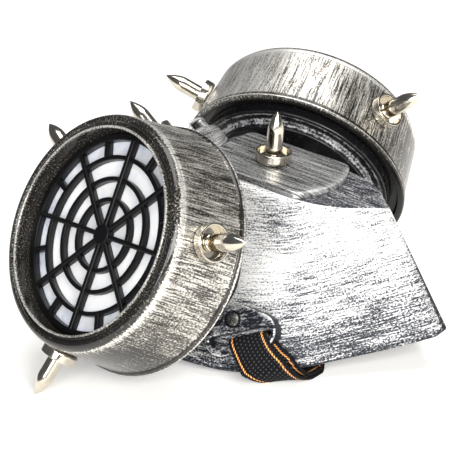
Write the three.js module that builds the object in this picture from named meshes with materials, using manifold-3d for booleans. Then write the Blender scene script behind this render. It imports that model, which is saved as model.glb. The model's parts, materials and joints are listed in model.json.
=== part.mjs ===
// Gas mask style costume mask: a hollow half-mask body, two drum-shaped canisters with web grilles,
// a round front valve, screwed-on metal spikes in cup washers, two strap ears and one elastic strap.
// The mask lies with its open back down. X runs across the face, the nose end points along -Y,
// the chin end along +Y, and Z is up. The origin is at the middle of the floor under the mask.
// Shapes are worked out in a mask frame first: x across, nose towards the nose end, up from the
// line through the canister fronts. The whole mask is then pitched onto its spikes and strap.

import * as THREE from 'three';
import * as BufferGeometryUtils from 'three/addons/utils/BufferGeometryUtils.js';
import Module from 'manifold-3d';

const wasm = await Module();
wasm.setup();

// Driving dimensions in mm and degrees

const clearance = 0.3;

const noseReach = 114;
const chinReach = 40;
const rimHalfWidth = 50.5;
const rimDrop = 63;
const topHalfWidth = 20.5;
const topHeight = 10.6;
const keelTopDrop = 7.3;
const shellWall = 2.4;
const rimLip = 1.4;

const tongueHalfWidth = 20;
const tongueStart = 5.5;
const tongueEnd = 62;
const tongueEndCurve = 5;
const tongueCorner = 4.5;
const tongueThickness = 2.3;

const canisterCollarRadius = 41.5;
const canisterCollarWall = 1.5;
const canisterRimWidth = 6;
const canisterRadius = canisterCollarRadius + canisterRimWidth;
const canisterFlare = 3.4;
const canisterDepth = 35;
const canisterWall = 2.4;
const canisterWeb = 2.2;
const canisterRecess = 3.5;
const canisterStandOff = 1.4;
const canisterNose = 7;
const canisterUp = -17.2;
const canisterLift = 29.3;
const canisterTurn = 13.3;

const grilleRecess = 7;
const grilleDepth = 3.2;
const grilleRimWidth = 2.6;
const grilleRingWidth = 1.8;
const grilleSpokeWidth = 2;
const grilleHubRadius = 4.2;
const grilleRingRadii = [15.3, 23.8, 32.5];
const grilleSpokes = 8;
const filterThickness = 1.8;
const ledgeWidth = 3.4;

const basePlateGap = 3.76;
const basePlateThickness = 5.4;
const baseStepRadius = 37;
const baseStepThickness = 2.4;
const neckRadius = 24.5;
const neckFlare = 1.5;
const neckReach = 3;

const spikeRadius = 3.5;
const spikeLength = 20.6;
const spikeTipShare = 0.44;
const spikeGroove = 0.7;
const washerRadius = 7.6;
const washerHeight = 4.4;
const washerWall = 1;
const rimSpikeSetBack = 16.2;
const rimSpikeAnglesLeft = [106.5, 243.5, 352.5];
const rimSpikeAnglesRight = [125.5, 242.5, 352.5];
const tongueSpikeNose = 31;

const valveNose = -14.2;
const valveUp = -2.9;
const valveTilt = 40;
const valveRadius = 20;
const valveDrumHeight = 6;
const valveCollarRadius = 22.5;
const valveFaceHeight = 12.5;
const valveBossRadius = 8.4;
const valveBossHeight = 4.4;
const valveWindows = 10;
const valveWindowWidth = 7.6;
const valveWindowHeight = 3.2;
const valveWindowDepth = 3.5;

const earLength = 32;
const earTop = 11;
const earBottom = 8.4;
const earEndRadius = 7.2;
const earTopRadius = 9;
const earStandOff = 5;
const earPocket = 2.5;
const earRib = 4.73;
const earShare = 0.22;
const earTurn = 18;
const slotLength = 28;
const slotWidth = 4.2;
const slotEdge = 4.4;
const screwPlace = [-2.2, 5.6];
const screwRadius = 2.9;
const screwHeight = 1.1;

const strapWidth = 17;
const strapThickness = 1.3;
const strapPlace = 3.6;
const strapArchHeight = 52;

// Route of the strap on one side, in order from its sewn end. The inner layer runs out on the floor,
// under the rim and up behind the ear. There the band turns round the bar below the slot and comes back
// down as the outer layer. Floor rows hold the distance inwards from the rim, the height of the band's
// middle and the turn of its width from the Y axis. Wall rows hold a rib, a share of the way up, the
// distance out and the turn from the rim's direction. Loop rows are places in the ear's own frame.

const strapCrossRib = 3.36;
const strapRestRib = 4.05;
const strapInnerFloor = [
  { inwards: 13, up: 2.25, turn: 0 },
  { inwards: 7, up: 2.25, turn: 14 },
  { inwards: 2.5, up: 2.25, turn: 28 },
];
const strapInnerWall = [
  { rib: 3.5, share: -0.006, out: 1.1, turn: 0 },
  { rib: 3.6, share: 0.015, out: 1.3, turn: 2 },
  { rib: 3.76, share: 0.045, out: 1.2, turn: 6 },
  { rib: 3.96, share: 0.09, out: 1.2, turn: 12 },
];
const strapLoop = [
  { shift: 1.9, up: -7.6, out: 0.95, turn: 0 },
  { shift: 0.5, up: -4.2, out: 1.05, turn: 0 },
  { shift: 0, up: -2.7, out: 2, turn: 0 },
  { shift: 0, up: -2.2, out: 3.6, turn: 0 },
  { shift: 0, up: -2.7, out: 5.2, turn: 0 },
  { shift: 0.5, up: -4.2, out: 6.05, turn: 0 },
  { shift: 1.9, up: -7.6, out: 6.1, turn: 0 },
];
const strapOuterWall = [
  { rib: 3.98, share: 0.085, out: 6.2, turn: 12 },
  { rib: 3.76, share: 0.035, out: 6, turn: 6 },
  { rib: 3.56, share: 0.004, out: 4.6, turn: 2 },
];
const strapOuterFloor = [
  { inwards: -2.8, up: 1.7, turn: 36 },
  { inwards: -1, up: 0.65, turn: 34 },
  { inwards: 3, up: 0.65, turn: 24 },
  { inwards: 8, up: 0.65, turn: 10 },
  { inwards: 14, up: 0.65, turn: 0 },
];
const strapArchAngles = [14, 32, 52, 72, 90];
const strapRowSteps = 2;

// Smoothness of round and lofted pieces

const canisterSides = 28;
const smallSides = 12;
const spikeSides = 10;
const grilleArcSteps = 2;
const valveSides = 18;
const columnsPerRib = 2;

// Ribs of one side of the body, from the keel at the nose to the middle of the chin. The x columns are
// shares of rimHalfWidth and topHalfWidth, the nose columns of noseReach, or of chinReach where they
// are negative, rimUp is a share of rimDrop, and bulge is a share of the rib's own length.

const ribs = [
  { rimX: 0.09, rimNose: 1.000, rimUp: -0.700, foldX: 0.03, foldNose: 0.763, bulge: 0.000 },
  { rimX: 0.30, rimNose: 0.877, rimUp: -0.780, foldX: 0.32, foldNose: 0.708, bulge: 0.004 },
  { rimX: 0.58, rimNose: 0.719, rimUp: -0.862, foldX: 0.61, foldNose: 0.655, bulge: 0.010 },
  { rimX: 0.75, rimNose: 0.627, rimUp: -0.908, foldX: 0.84, foldNose: 0.579, bulge: 0.014 },
  { rimX: 0.89, rimNose: 0.500, rimUp: -0.960, foldX: 0.97, foldNose: 0.491, bulge: 0.020 },
  { rimX: 0.97, rimNose: 0.368, rimUp: -0.990, foldX: 1.00, foldNose: 0.372, bulge: 0.030 },
  { rimX: 1.00, rimNose: 0.228, rimUp: -1.000, foldX: 1.00, foldNose: 0.254, bulge: 0.040 },
  { rimX: 0.99, rimNose: 0.053, rimUp: -1.000, foldX: 1.00, foldNose: 0.150, bulge: 0.060 },
  { rimX: 0.92, rimNose: -0.390, rimUp: -0.984, foldX: 1.00, foldNose: 0.070, bulge: 0.075 },
  { rimX: 0.72, rimNose: -0.800, rimUp: -0.960, foldX: 0.98, foldNose: 0.026, bulge: 0.090 },
  { rimX: 0.40, rimNose: -1.000, rimUp: -0.927, foldX: 0.83, foldNose: 0.000, bulge: 0.100 },
];

// Rows of the side surface, as shares of the way from the rim to the fold

const sideShares = [0, 0.045, 0.075, 0.28, 0.52, 0.76, 1];
const lipRows = 2;
const lipStartRib = 4.9;

// General helpers

const radians = THREE.MathUtils.degToRad;
const at = (x, nose, up) => new THREE.Vector3(x, -nose, up);
const sides = { left: -1, right: 1 };

function solidOf(geometry) {
  // Welds a closed geometry, drops collapsed faces and turns it the right way out
  const bare = new THREE.BufferGeometry();
  bare.setAttribute('position', geometry.getAttribute('position').clone());
  if (geometry.index) bare.setIndex(geometry.index.clone());
  const welded = BufferGeometryUtils.mergeVertices(bare, 1e-4);
  const place = welded.getAttribute('position');
  const index = welded.index.array;
  const faces = [];
  const [a, b, c] = [new THREE.Vector3(), new THREE.Vector3(), new THREE.Vector3()];
  let volume = 0;
  for (let i = 0; i < index.length; i += 3) {
    const [p, q, r] = [index[i], index[i + 1], index[i + 2]];
    if (p === q || q === r || r === p) continue;
    faces.push(p, q, r);
    a.fromBufferAttribute(place, p);
    b.fromBufferAttribute(place, q);
    c.fromBufferAttribute(place, r);
    volume += a.dot(b.cross(c));
  }
  if (volume < 0) faces.reverse();
  const mesh = new wasm.Mesh({
    numProp: 3,
    vertProperties: new Float32Array(place.array),
    triVerts: new Uint32Array(faces),
  });
  return new wasm.Manifold(mesh);
}

function geometryOf(solid) {
  const mesh = solid.getMesh();
  const geometry = new THREE.BufferGeometry();
  geometry.setAttribute('position', new THREE.BufferAttribute(new Float32Array(mesh.vertProperties), 3));
  geometry.setIndex([...mesh.triVerts]);
  return geometry;
}

function join(solids) {
  return solids.reduce((whole, next) => whole.add(next));
}

function lathe(profile, count) {
  // Turns [radius, height] points about the Z axis
  const points = profile.map(([radius, height]) => new THREE.Vector2(radius, height));
  return new THREE.LatheGeometry(points, count).rotateX(Math.PI / 2);
}

function frameOn(point, outward, along) {
  // A matrix with its origin at point, Z along outward and X as near as can be to along
  const z = outward.clone().normalize();
  const x = along.clone().addScaledVector(z, -along.dot(z)).normalize();
  const y = z.clone().cross(x);
  return new THREE.Matrix4().makeBasis(x, y, z).setPosition(point);
}

function mirrored(vector) {
  return new THREE.Vector3(-vector.x, vector.y, vector.z);
}

// Materials, one for each piece

const finishes = {
  silveredBody: { color: 0xc9cbd0, roughness: 0.5, metalness: 0.35 },
  silveredBlack: { color: 0x8d8c88, roughness: 0.45, metalness: 0.5 },
  darkSilvered: { color: 0x5b5a57, roughness: 0.4, metalness: 0.45 },
  blackPlastic: { color: 0x111113, roughness: 0.35, metalness: 0 },
  filterCloth: { color: 0xf2f3f7, roughness: 0.9, metalness: 0 },
  nickel: { color: 0xd9d3c4, roughness: 0.12, metalness: 1 },
  elastic: { color: 0x1b1a1a, roughness: 0.85, metalness: 0 },
};

function addPiece(group, name, geometry, finish) {
  const material = new THREE.MeshStandardMaterial({ ...finishes[finish], flatShading: true });
  const mesh = new THREE.Mesh(geometry, material);
  mesh.name = name;
  group.add(mesh);
  return mesh;
}

// Body

const keelTopNose = ribs[0].foldNose * noseReach;

function crownUp(nose) {
  const share = THREE.MathUtils.clamp((nose - tongueStart) / (keelTopNose - tongueStart), 0, 1);
  return topHeight - keelTopDrop * share;
}

function along(share) {
  return share < 0 ? share * chinReach : share * noseReach;
}

const rimLine = new THREE.CatmullRomCurve3(
  ribs.map((rib) => at(rib.rimX * rimHalfWidth, along(rib.rimNose), rib.rimUp * rimDrop)));
const foldLine = new THREE.CatmullRomCurve3(
  ribs.map((rib) => at(rib.foldX * topHalfWidth, along(rib.foldNose), crownUp(along(rib.foldNose)))));

function ribValue(rib, column) {
  const low = Math.min(Math.floor(rib), ribs.length - 2);
  return THREE.MathUtils.lerp(ribs[low][column], ribs[low + 1][column], rib - low);
}

function sidePoint(rib, share) {
  // A point of the right side surface: straight from rim to fold, with a parabolic bulge outwards
  const t = rib / (ribs.length - 1);
  const rim = rimLine.getPoint(t);
  const fold = foldLine.getPoint(t);
  const rise = fold.clone().sub(rim);
  const outward = rise.clone().cross(rimLine.getTangent(t)).normalize();
  const bulge = ribValue(rib, 'bulge') * rise.length() * 4 * share * (1 - share);
  return rim.addScaledVector(rise, share).addScaledVector(outward, bulge);
}

function sideFrame(rib, share) {
  // The frame on the left side surface, X along the rim towards the nose, Y up the side, Z out
  const step = 0.02;
  const place = (atRib, atShare) => mirrored(sidePoint(atRib, atShare));
  const noseward = place(rib - step, share).sub(place(rib + step, share));
  const upward = place(rib, share + step).sub(place(rib, share - step));
  return frameOn(place(rib, share), noseward.clone().cross(upward), noseward);
}

function bodySolid(offset, lip, extraDrop) {
  // The filled body, with its outer surface moved out by offset and its rim drawn down by extraDrop
  const columns = (ribs.length - 1) * columnsPerRib;
  const rows = sideShares.length;
  const points = [];
  for (let i = 0; i <= columns; i += 1) {
    for (const share of sideShares) points.push(sidePoint(i / columnsPerRib, share));
  }
  const half = points.length;
  points.push(...points.map(mirrored));
  const right = (i, j) => i * rows + j;
  const left = (i, j) => half + right(i, j);
  const upper = [];
  const bottom = [];
  const quad = (list, a, b, c, d) => list.push([a, b, c], [a, c, d]);
  for (let i = 0; i < columns; i += 1) {
    for (let j = 0; j < rows - 1; j += 1) {
      quad(upper, right(i, j), right(i + 1, j), right(i + 1, j + 1), right(i, j + 1));
      quad(upper, left(i, j), left(i, j + 1), left(i + 1, j + 1), left(i + 1, j));
    }
    quad(upper, right(i, rows - 1), right(i + 1, rows - 1), left(i + 1, rows - 1), left(i, rows - 1));
    quad(bottom, right(i, 0), left(i, 0), left(i + 1, 0), right(i + 1, 0));
  }
  for (let j = 0; j < rows - 1; j += 1) {
    quad(upper, left(0, j), right(0, j), right(0, j + 1), left(0, j + 1));
    quad(upper, left(columns, j), left(columns, j + 1), right(columns, j + 1), right(columns, j));
  }
  const sums = points.map(() => new THREE.Vector3());
  const counts = points.map(() => 0);
  for (const face of upper) {
    const [a, b, c] = face.map((k) => points[k]);
    const normal = b.clone().sub(a).cross(c.clone().sub(a));
    if (normal.lengthSq() < 1e-8) continue;
    normal.normalize();
    for (const k of face) {
      sums[k].add(normal);
      counts[k] += 1;
    }
  }
  const moved = points.map((point, k) => {
    const mean = sums[k].clone().divideScalar(counts[k]);
    const spread = Math.max(mean.lengthSq(), 0.35);
    const column = Math.floor((k % half) / rows) / columnsPerRib;
    const row = (k % half) % rows;
    const lipShare = row < lipRows ? THREE.MathUtils.smoothstep(column, lipStartRib, lipStartRib + 1) : 0;
    return point.clone().addScaledVector(mean, (offset + lip * lipShare) / spread);
  });
  if (extraDrop > 0) {
    for (let k = 0; k < points.length; k += rows) {
      const down = points[k].clone().sub(points[k + 1]).normalize();
      moved[k].addScaledVector(down, extraDrop);
    }
  }
  const geometry = new THREE.BufferGeometry().setFromPoints(moved);
  geometry.setIndex([...upper, ...bottom].flat());
  return solidOf(geometry);
}

const bodyOuter = bodySolid(0, rimLip, 0);
const bodyKeepOut = bodySolid(clearance, rimLip, 2 * shellWall);

function bodyShell() {
  const hollow = bodySolid(-shellWall, 0, 3 * shellWall);
  return geometryOf(bodyOuter.subtract(hollow));
}

// Nose tongue: a raised plate on the sloping crown, straight at the front and rounded at the nose end

const crownSlope = Math.atan2(keelTopDrop, keelTopNose - tongueStart);
const crownNormal = at(0, Math.sin(crownSlope), Math.cos(crownSlope));

function crownFrame(nose, height) {
  const point = at(0, nose, crownUp(nose)).addScaledVector(crownNormal, height);
  return frameOn(point, crownNormal, new THREE.Vector3(1, 0, 0));
}

function noseTongue() {
  const start = clearance;
  const end = (tongueEnd - tongueStart) / Math.cos(crownSlope);
  const corner = end - tongueEndCurve;
  const outline = new THREE.Shape();
  outline.moveTo(-tongueHalfWidth + tongueCorner, start);
  outline.lineTo(tongueHalfWidth - tongueCorner, start);
  outline.quadraticCurveTo(tongueHalfWidth, start, tongueHalfWidth, start + tongueCorner);
  outline.lineTo(tongueHalfWidth, corner - tongueCorner);
  outline.quadraticCurveTo(tongueHalfWidth, corner, tongueHalfWidth - tongueCorner, corner + 1);
  outline.quadraticCurveTo(0, 2 * end - corner - 1, -tongueHalfWidth + tongueCorner, corner + 1);
  outline.quadraticCurveTo(-tongueHalfWidth, corner, -tongueHalfWidth, corner - tongueCorner);
  outline.lineTo(-tongueHalfWidth, start + tongueCorner);
  outline.quadraticCurveTo(-tongueHalfWidth, start, -tongueHalfWidth + tongueCorner, start);
  const bevel = 0.5;
  const plate = new THREE.ExtrudeGeometry(outline, {
    depth: tongueThickness - 2 * bevel,
    curveSegments: 3,
    bevelThickness: bevel,
    bevelSize: bevel,
    bevelOffset: -bevel,
    bevelSegments: 1,
  });
  const lay = crownFrame(tongueStart, clearance + bevel);
  const noseward = new THREE.Matrix4().makeScale(1, -1, 1);
  plate.applyMatrix4(noseward).applyMatrix4(lay);
  return geometryOf(solidOf(plate).subtract(bodyKeepOut));
}

// Canisters: a cup open to the front, with a folded front rim, a ledge for the grille and a back web

const canisterAxis = new THREE.Vector3(
  Math.cos(radians(canisterLift)) * Math.cos(radians(canisterTurn)),
  Math.cos(radians(canisterLift)) * Math.sin(radians(canisterTurn)),
  Math.sin(radians(canisterLift)));
const canisterRear = at(rimHalfWidth + canisterStandOff, canisterNose, canisterUp);

function canisterFrame(side) {
  // Origin at the middle of the front rim, Z outwards, X straight down the front, Y across it
  const flip = (vector) => (side === sides.left ? mirrored(vector) : vector);
  const front = canisterRear.clone().addScaledVector(canisterAxis, canisterDepth);
  return frameOn(flip(front), flip(canisterAxis), new THREE.Vector3(0, 0, -1));
}

function wallRadius(setBack) {
  return canisterRadius + canisterFlare * setBack / canisterDepth;
}

const ledgeSetBack = grilleRecess + grilleDepth + filterThickness + 2 * clearance;
const webFront = canisterDepth - canisterRecess - canisterWeb;
const webBack = canisterDepth - canisterRecess;

function canister() {
  const collarOuter = canisterCollarRadius + canisterCollarWall;
  const rear = wallRadius(canisterDepth);
  return geometryOf(solidOf(lathe([
    [0, -webFront],
    [wallRadius(webFront) - canisterWall, -webFront],
    [canisterRadius - canisterWall, -canisterWall],
    [collarOuter, -canisterWall],
    [collarOuter, -ledgeSetBack - canisterCollarWall],
    [canisterCollarRadius - ledgeWidth, -ledgeSetBack - canisterCollarWall],
    [canisterCollarRadius - ledgeWidth, -ledgeSetBack],
    [canisterCollarRadius, -ledgeSetBack],
    [canisterCollarRadius, 0.6],
    [canisterCollarRadius + 0.9, 0.6],
    [canisterCollarRadius + 1.5, -0.5],
    [canisterRadius - 2.4, 0],
    [canisterRadius - 0.7, -0.9],
    [canisterRadius, -2.8],
    [rear - 0.2, -canisterDepth + 2.4],
    [rear + 0.7, -canisterDepth + 1.5],
    [rear + 0.5, -canisterDepth],
    [rear - canisterWall, -canisterDepth],
    [wallRadius(webBack) - canisterWall, -webBack],
    [0, -webBack],
  ], canisterSides)));
}

// Base plate with its neck, cut to the body's side. It sits in the open back of the canister.

const basePlateRadius = wallRadius(webBack) - canisterWall - basePlateGap;

function basePlateSolid(side, grow) {
  const back = -webBack - clearance + grow;
  const stepAt = back - basePlateThickness - 2 * grow;
  const neckAt = stepAt - baseStepThickness;
  const reach = neckReach + canisterRear.length() + 2 * grow;
  const plate = lathe([
    [0, back],
    [basePlateRadius + grow - 0.8, back],
    [basePlateRadius + grow, back - 0.8],
    [basePlateRadius + grow, stepAt],
    [baseStepRadius + grow, stepAt],
    [baseStepRadius + grow, neckAt],
    [neckRadius + grow, neckAt],
    [neckRadius + neckFlare + grow, -reach],
    [0, -reach],
  ], canisterSides);
  return solidOf(plate.applyMatrix4(canisterFrame(side)));
}

function largestPiece(solid) {
  return solid.decompose().sort((a, b) => b.volume() - a.volume())[0];
}

const basePlateKeepOut = join(Object.values(sides).map((side) => basePlateSolid(side, clearance)));

function basePlate(side) {
  const plate = largestPiece(basePlateSolid(side, 0).subtract(bodyKeepOut));
  return geometryOf(plate).applyMatrix4(canisterFrame(side).invert());
}

// Grille: a web of rings and spokes, cut through between them

function sector(inner, outer, middle, span) {
  // A gap of the web: between two radii, and between two spokes whose edges stay parallel
  const hole = new THREE.Path();
  const half = grilleSpokeWidth / 2;
  const corner = (radius, side) => middle + side * (span / 2 - Math.asin(half / radius));
  const steps = outer > grilleRingRadii.at(-1) ? 2 : grilleArcSteps;
  const place = (radius, angle) => [radius * Math.cos(angle), radius * Math.sin(angle)];
  const arc = (radius, from, to) => {
    for (let k = 0; k <= steps; k += 1) {
      const [x, y] = place(radius, from + (to - from) * k / steps);
      if (hole.curves.length === 0 && hole.currentPoint.length() === 0) hole.moveTo(x, y);
      else hole.lineTo(x, y);
    }
  };
  arc(outer, corner(outer, -1), corner(outer, 1));
  arc(inner, corner(inner, 1), corner(inner, -1));
  return hole;
}

function grille() {
  const rimRadius = canisterCollarRadius - clearance;
  const outline = new THREE.Shape();
  outline.absarc(0, 0, rimRadius, 0, 2 * Math.PI);
  const inner = [grilleHubRadius, ...grilleRingRadii];
  const outer = [...grilleRingRadii.map((radius) => radius - grilleRingWidth), rimRadius - grilleRimWidth];
  inner.forEach((radius, k) => {
    const count = k < grilleRingRadii.length ? grilleSpokes : 2 * grilleSpokes;
    const span = 2 * Math.PI / count;
    for (let n = 0; n < count; n += 1) {
      outline.holes.push(sector(radius, outer[k], (n + 0.5) * span, span));
    }
  });
  return new THREE.ExtrudeGeometry(outline, {
    depth: grilleDepth,
    bevelEnabled: false,
    curveSegments: canisterSides / 2,
  }).translate(0, 0, -grilleDepth / 2);
}

function filterDisc() {
  const radius = canisterCollarRadius - clearance;
  return geometryOf(solidOf(lathe([
    [0, -filterThickness / 2],
    [radius, -filterThickness / 2],
    [radius, filterThickness / 2],
    [0, filterThickness / 2],
  ], canisterSides)));
}

// Spikes and their cup washers, both standing along Z on their seat

function spike() {
  const tipAt = spikeLength * (1 - spikeTipShare);
  const profile = [
    [0, 0],
    [spikeRadius, 0],
    [spikeRadius, 1.4],
    [spikeRadius - spikeGroove, 1.9],
    [spikeRadius, 2.4],
    [spikeRadius, tipAt],
  ];
  for (const share of [0.4, 0.78]) {
    profile.push([spikeRadius * (1 - share ** 1.8), tipAt + (spikeLength - tipAt) * share]);
  }
  profile.push([0, spikeLength]);
  return geometryOf(solidOf(lathe(profile, spikeSides)));
}

function cupWasher() {
  return geometryOf(solidOf(lathe([
    [0, 0],
    [washerRadius - 0.6, 0],
    [washerRadius, 1],
    [washerRadius, washerHeight],
    [washerRadius - washerWall, washerHeight],
    [washerRadius - washerWall, washerWall],
    [0, washerWall],
  ], smallSides)));
}

function addSpike(group, name, seat) {
  // Puts a washer and a spike on a seat matrix whose Z points away from the surface
  const washer = addPiece(group, `washer_${name}`, cupWasher(), 'nickel');
  washer.applyMatrix4(seat.clone().multiply(new THREE.Matrix4().makeTranslation(0, 0, clearance)));
  const point = addPiece(group, `spike_${name}`, spike(), 'nickel');
  const spikeBase = washerWall + 2 * clearance;
  point.applyMatrix4(seat.clone().multiply(new THREE.Matrix4().makeTranslation(0, 0, spikeBase)));
}

const spikeReach = washerWall + 2 * clearance + spikeLength;

function rimSeat(angle, side) {
  // The seat of a canister spike in the canister's frame, the angle counted from the lowest point
  const flare = Math.atan2(canisterFlare, canisterDepth);
  const turn = -side * radians(angle);
  const around = new THREE.Vector3(Math.cos(turn), Math.sin(turn), 0);
  const outward = around.clone().setZ(Math.tan(flare)).normalize();
  const point = around.clone().multiplyScalar(wallRadius(rimSpikeSetBack)).setZ(-rimSpikeSetBack);
  return frameOn(point, outward, new THREE.Vector3(0, 0, 1));
}

// Front valve: a collar and a drum with windows round its side, on the slope below the crown

function valveFrame() {
  // Origin on the slope at the foot of the valve's axis
  const axis = at(0, -Math.cos(radians(valveTilt)), Math.sin(radians(valveTilt)));
  return frameOn(at(0, valveNose, valveUp), axis, new THREE.Vector3(1, 0, 0));
}

function frontValve() {
  const drumFoot = valveFaceHeight - valveDrumHeight;
  const bossTop = valveFaceHeight + valveBossHeight;
  const drum = solidOf(lathe([
    [0, -valveFaceHeight],
    [valveCollarRadius, -valveFaceHeight],
    [valveCollarRadius, drumFoot - 0.8],
    [valveCollarRadius - 0.8, drumFoot],
    [valveRadius, drumFoot],
    [valveRadius, valveFaceHeight - 0.8],
    [valveRadius - 0.8, valveFaceHeight],
    [valveBossRadius + 2, valveFaceHeight],
    [valveBossRadius, valveFaceHeight + 1],
    [valveBossRadius, bossTop],
    [0, bossTop],
  ], valveSides));
  const windows = [];
  for (let k = 0; k < valveWindows; k += 1) {
    const box = new THREE.BoxGeometry(2 * valveWindowDepth, valveWindowWidth, valveWindowHeight);
    box.translate(valveRadius, 0, drumFoot + valveDrumHeight / 2);
    windows.push(solidOf(box.rotateZ(Math.PI / 2 + 2 * Math.PI * (k + 0.12) / valveWindows)));
  }
  const frame = valveFrame();
  const carved = solidOf(geometryOf(drum.subtract(join(windows))).applyMatrix4(frame));
  return geometryOf(largestPiece(carved.subtract(bodyKeepOut).subtract(basePlateKeepOut)));
}

// Ears: round-ended plates low on the body's sides, each with a screw and a strap slot

const earFrame = sideFrame(earRib, earShare).multiply(new THREE.Matrix4().makeRotationZ(radians(earTurn)));
const slotMiddle = slotEdge + slotWidth / 2 - earBottom;

function fromLeft(side) {
  // Leaves the left side's pieces as they are, and mirrors them for the right side
  return new THREE.Matrix4().makeScale(-side, 1, 1);
}

function earTab(side) {
  const endX = earLength / 2 - earEndRadius;
  const endY = earEndRadius - earBottom;
  const topY = earTop - earTopRadius;
  const lean = Math.acos((earTopRadius - earEndRadius) / Math.hypot(endX, endY - topY));
  const tangent = lean + Math.atan2(endY - topY, endX);
  const outline = new THREE.Shape();
  outline.absarc(endX, endY, earEndRadius, -Math.PI / 2, tangent);
  outline.absarc(0, topY, earTopRadius, tangent, Math.PI - tangent);
  outline.absarc(-endX, endY, earEndRadius, Math.PI - tangent, 3 * Math.PI / 2);
  const slot = new THREE.Path();
  const slotEnd = (slotLength - slotWidth) / 2;
  slot.absarc(slotEnd, slotMiddle, slotWidth / 2, -Math.PI / 2, Math.PI / 2);
  slot.absarc(-slotEnd, slotMiddle, slotWidth / 2, Math.PI / 2, 3 * Math.PI / 2);
  outline.holes.push(slot);
  const plate = new THREE.ExtrudeGeometry(outline, {
    depth: 2 * earStandOff,
    bevelEnabled: false,
    curveSegments: 5,
  }).translate(0, 0, -earStandOff);
  const recess = lathe([
    [0, -screwHeight - clearance],
    [screwRadius + clearance, -screwHeight - clearance],
    [screwRadius + clearance, 1],
    [0, 1],
  ], smallSides).translate(...screwPlace, earStandOff);
  const cut = solidOf(plate).subtract(solidOf(recess));
  const pocket = new THREE.BoxGeometry(strapWidth + 5, 2 * earTop, 2 * earStandOff);
  pocket.translate(strapPlace + 1.2, slotMiddle - earTop, earPocket - earStandOff);
  const placed = solidOf(geometryOf(cut.subtract(solidOf(pocket))).applyMatrix4(earFrame));
  const ear = largestPiece(placed.subtract(bodyKeepOut).subtract(basePlateKeepOut));
  return geometryOf(solidOf(geometryOf(ear).applyMatrix4(fromLeft(side))));
}

function earScrew(side) {
  const head = lathe([
    [0, -screwHeight],
    [screwRadius, -screwHeight],
    [screwRadius, -0.4],
    [screwRadius - 0.9, 0.3],
    [0, 0.5],
  ], smallSides).translate(...screwPlace, earStandOff);
  return geometryOf(solidOf(head.applyMatrix4(earFrame).applyMatrix4(fromLeft(side))));
}

// Rest: the mask is pitched so that its lowest spikes and the doubled strap under its rim touch the floor

const underRim = 2 * strapThickness + 2 * clearance;

function restMatrix() {
  const lowestTip = (angles, side) => {
    const seat = canisterFrame(side).multiply(rimSeat(angles.at(-1), side));
    return new THREE.Vector3(0, 0, spikeReach).applyMatrix4(seat);
  };
  const tips = [lowestTip(rimSpikeAnglesLeft, sides.left), lowestTip(rimSpikeAnglesRight, sides.right)];
  const tip = tips[0].z < tips[1].z ? tips[0] : tips[1];
  const rim = sidePoint(strapRestRib, 0);
  const [spanY, spanZ] = [rim.y - tip.y, rim.z - tip.z];
  const pitch = Math.atan2(spanY, spanZ) + Math.acos(underRim / Math.hypot(spanY, spanZ));
  const matrix = new THREE.Matrix4().makeRotationX(pitch);
  const drop = tip.clone().applyMatrix4(matrix).z;
  return matrix.premultiply(new THREE.Matrix4().makeTranslation(0, 0, -drop));
}

const rest = restMatrix();

// Strap: one flat elastic band, doubled round the bar of each ear and under the rim. Its two ends are
// sewn to it inside the mask, and between them the single band springs up as an arch in the hollow.

function turned(frame, turn) {
  const across = new THREE.Vector3(Math.cos(radians(turn)), Math.sin(radians(turn)), 0);
  return across.transformDirection(frame);
}

function wallRow({ rib, share, out, turn }) {
  const frame = rest.clone().multiply(sideFrame(rib, share));
  return { point: new THREE.Vector3(0, 0, out).applyMatrix4(frame), across: turned(frame, turn) };
}

function loopRow({ shift, up, out, turn }) {
  const frame = rest.clone().multiply(earFrame);
  const point = new THREE.Vector3(strapPlace + shift, up, out);
  return { point: point.applyMatrix4(frame), across: turned(frame, turn) };
}

function floorRow({ inwards, up, turn }) {
  const rim = mirrored(sidePoint(strapCrossRib, 0)).applyMatrix4(rest);
  const angle = radians(turn);
  return {
    point: new THREE.Vector3(rim.x + inwards, rim.y, up),
    across: new THREE.Vector3(Math.sin(angle), -Math.cos(angle), 0),
  };
}

function archRow(angle) {
  const start = floorRow(strapOuterFloor.at(-1)).point;
  const [cos, sin] = [Math.cos(radians(angle)), Math.sin(radians(angle))];
  return {
    point: new THREE.Vector3(start.x * cos, start.y, start.z + strapArchHeight * sin),
    across: new THREE.Vector3(0, -1, 0),
  };
}

function band(rows, width, thickness) {
  // A closed flat band along a smooth route through rows of a point and the direction of its ruling.
  // A ruling may lie askew to the way, and is then longer, so that the band keeps its width.
  const route = new THREE.CatmullRomCurve3(rows.map((row) => row.point), false, 'centripetal');
  const steps = strapRowSteps * (rows.length - 1);
  const corners = [];
  for (let i = 0; i <= steps; i += 1) {
    const t = i / steps;
    const low = Math.min(Math.floor(i / strapRowSteps), rows.length - 2);
    const across = rows[low].across.clone().lerp(rows[low + 1].across, i / strapRowSteps - low).normalize();
    const way = route.getTangent(t);
    const thick = way.clone().cross(across);
    const reach = width / 2 / thick.length();
    thick.normalize();
    for (const [w, h] of [[-1, -1], [1, -1], [1, 1], [-1, 1]]) {
      const corner = route.getPoint(t).addScaledVector(across, w * reach);
      corner.addScaledVector(thick, h * thickness / 2);
      corners.push(corner.setZ(Math.max(corner.z, 0)));
    }
  }
  const last = corners.length - 4;
  const faces = [0, 1, 2, 0, 2, 3, last, last + 2, last + 1, last, last + 3, last + 2];
  for (let i = 0; i < last; i += 4) {
    for (let k = 0; k < 4; k += 1) {
      const [a, b] = [i + k, i + (k + 1) % 4];
      faces.push(a, a + 4, b, b, a + 4, b + 4);
    }
  }
  const geometry = new THREE.BufferGeometry().setFromPoints(corners);
  geometry.setIndex(faces);
  return solidOf(geometry);
}

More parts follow.
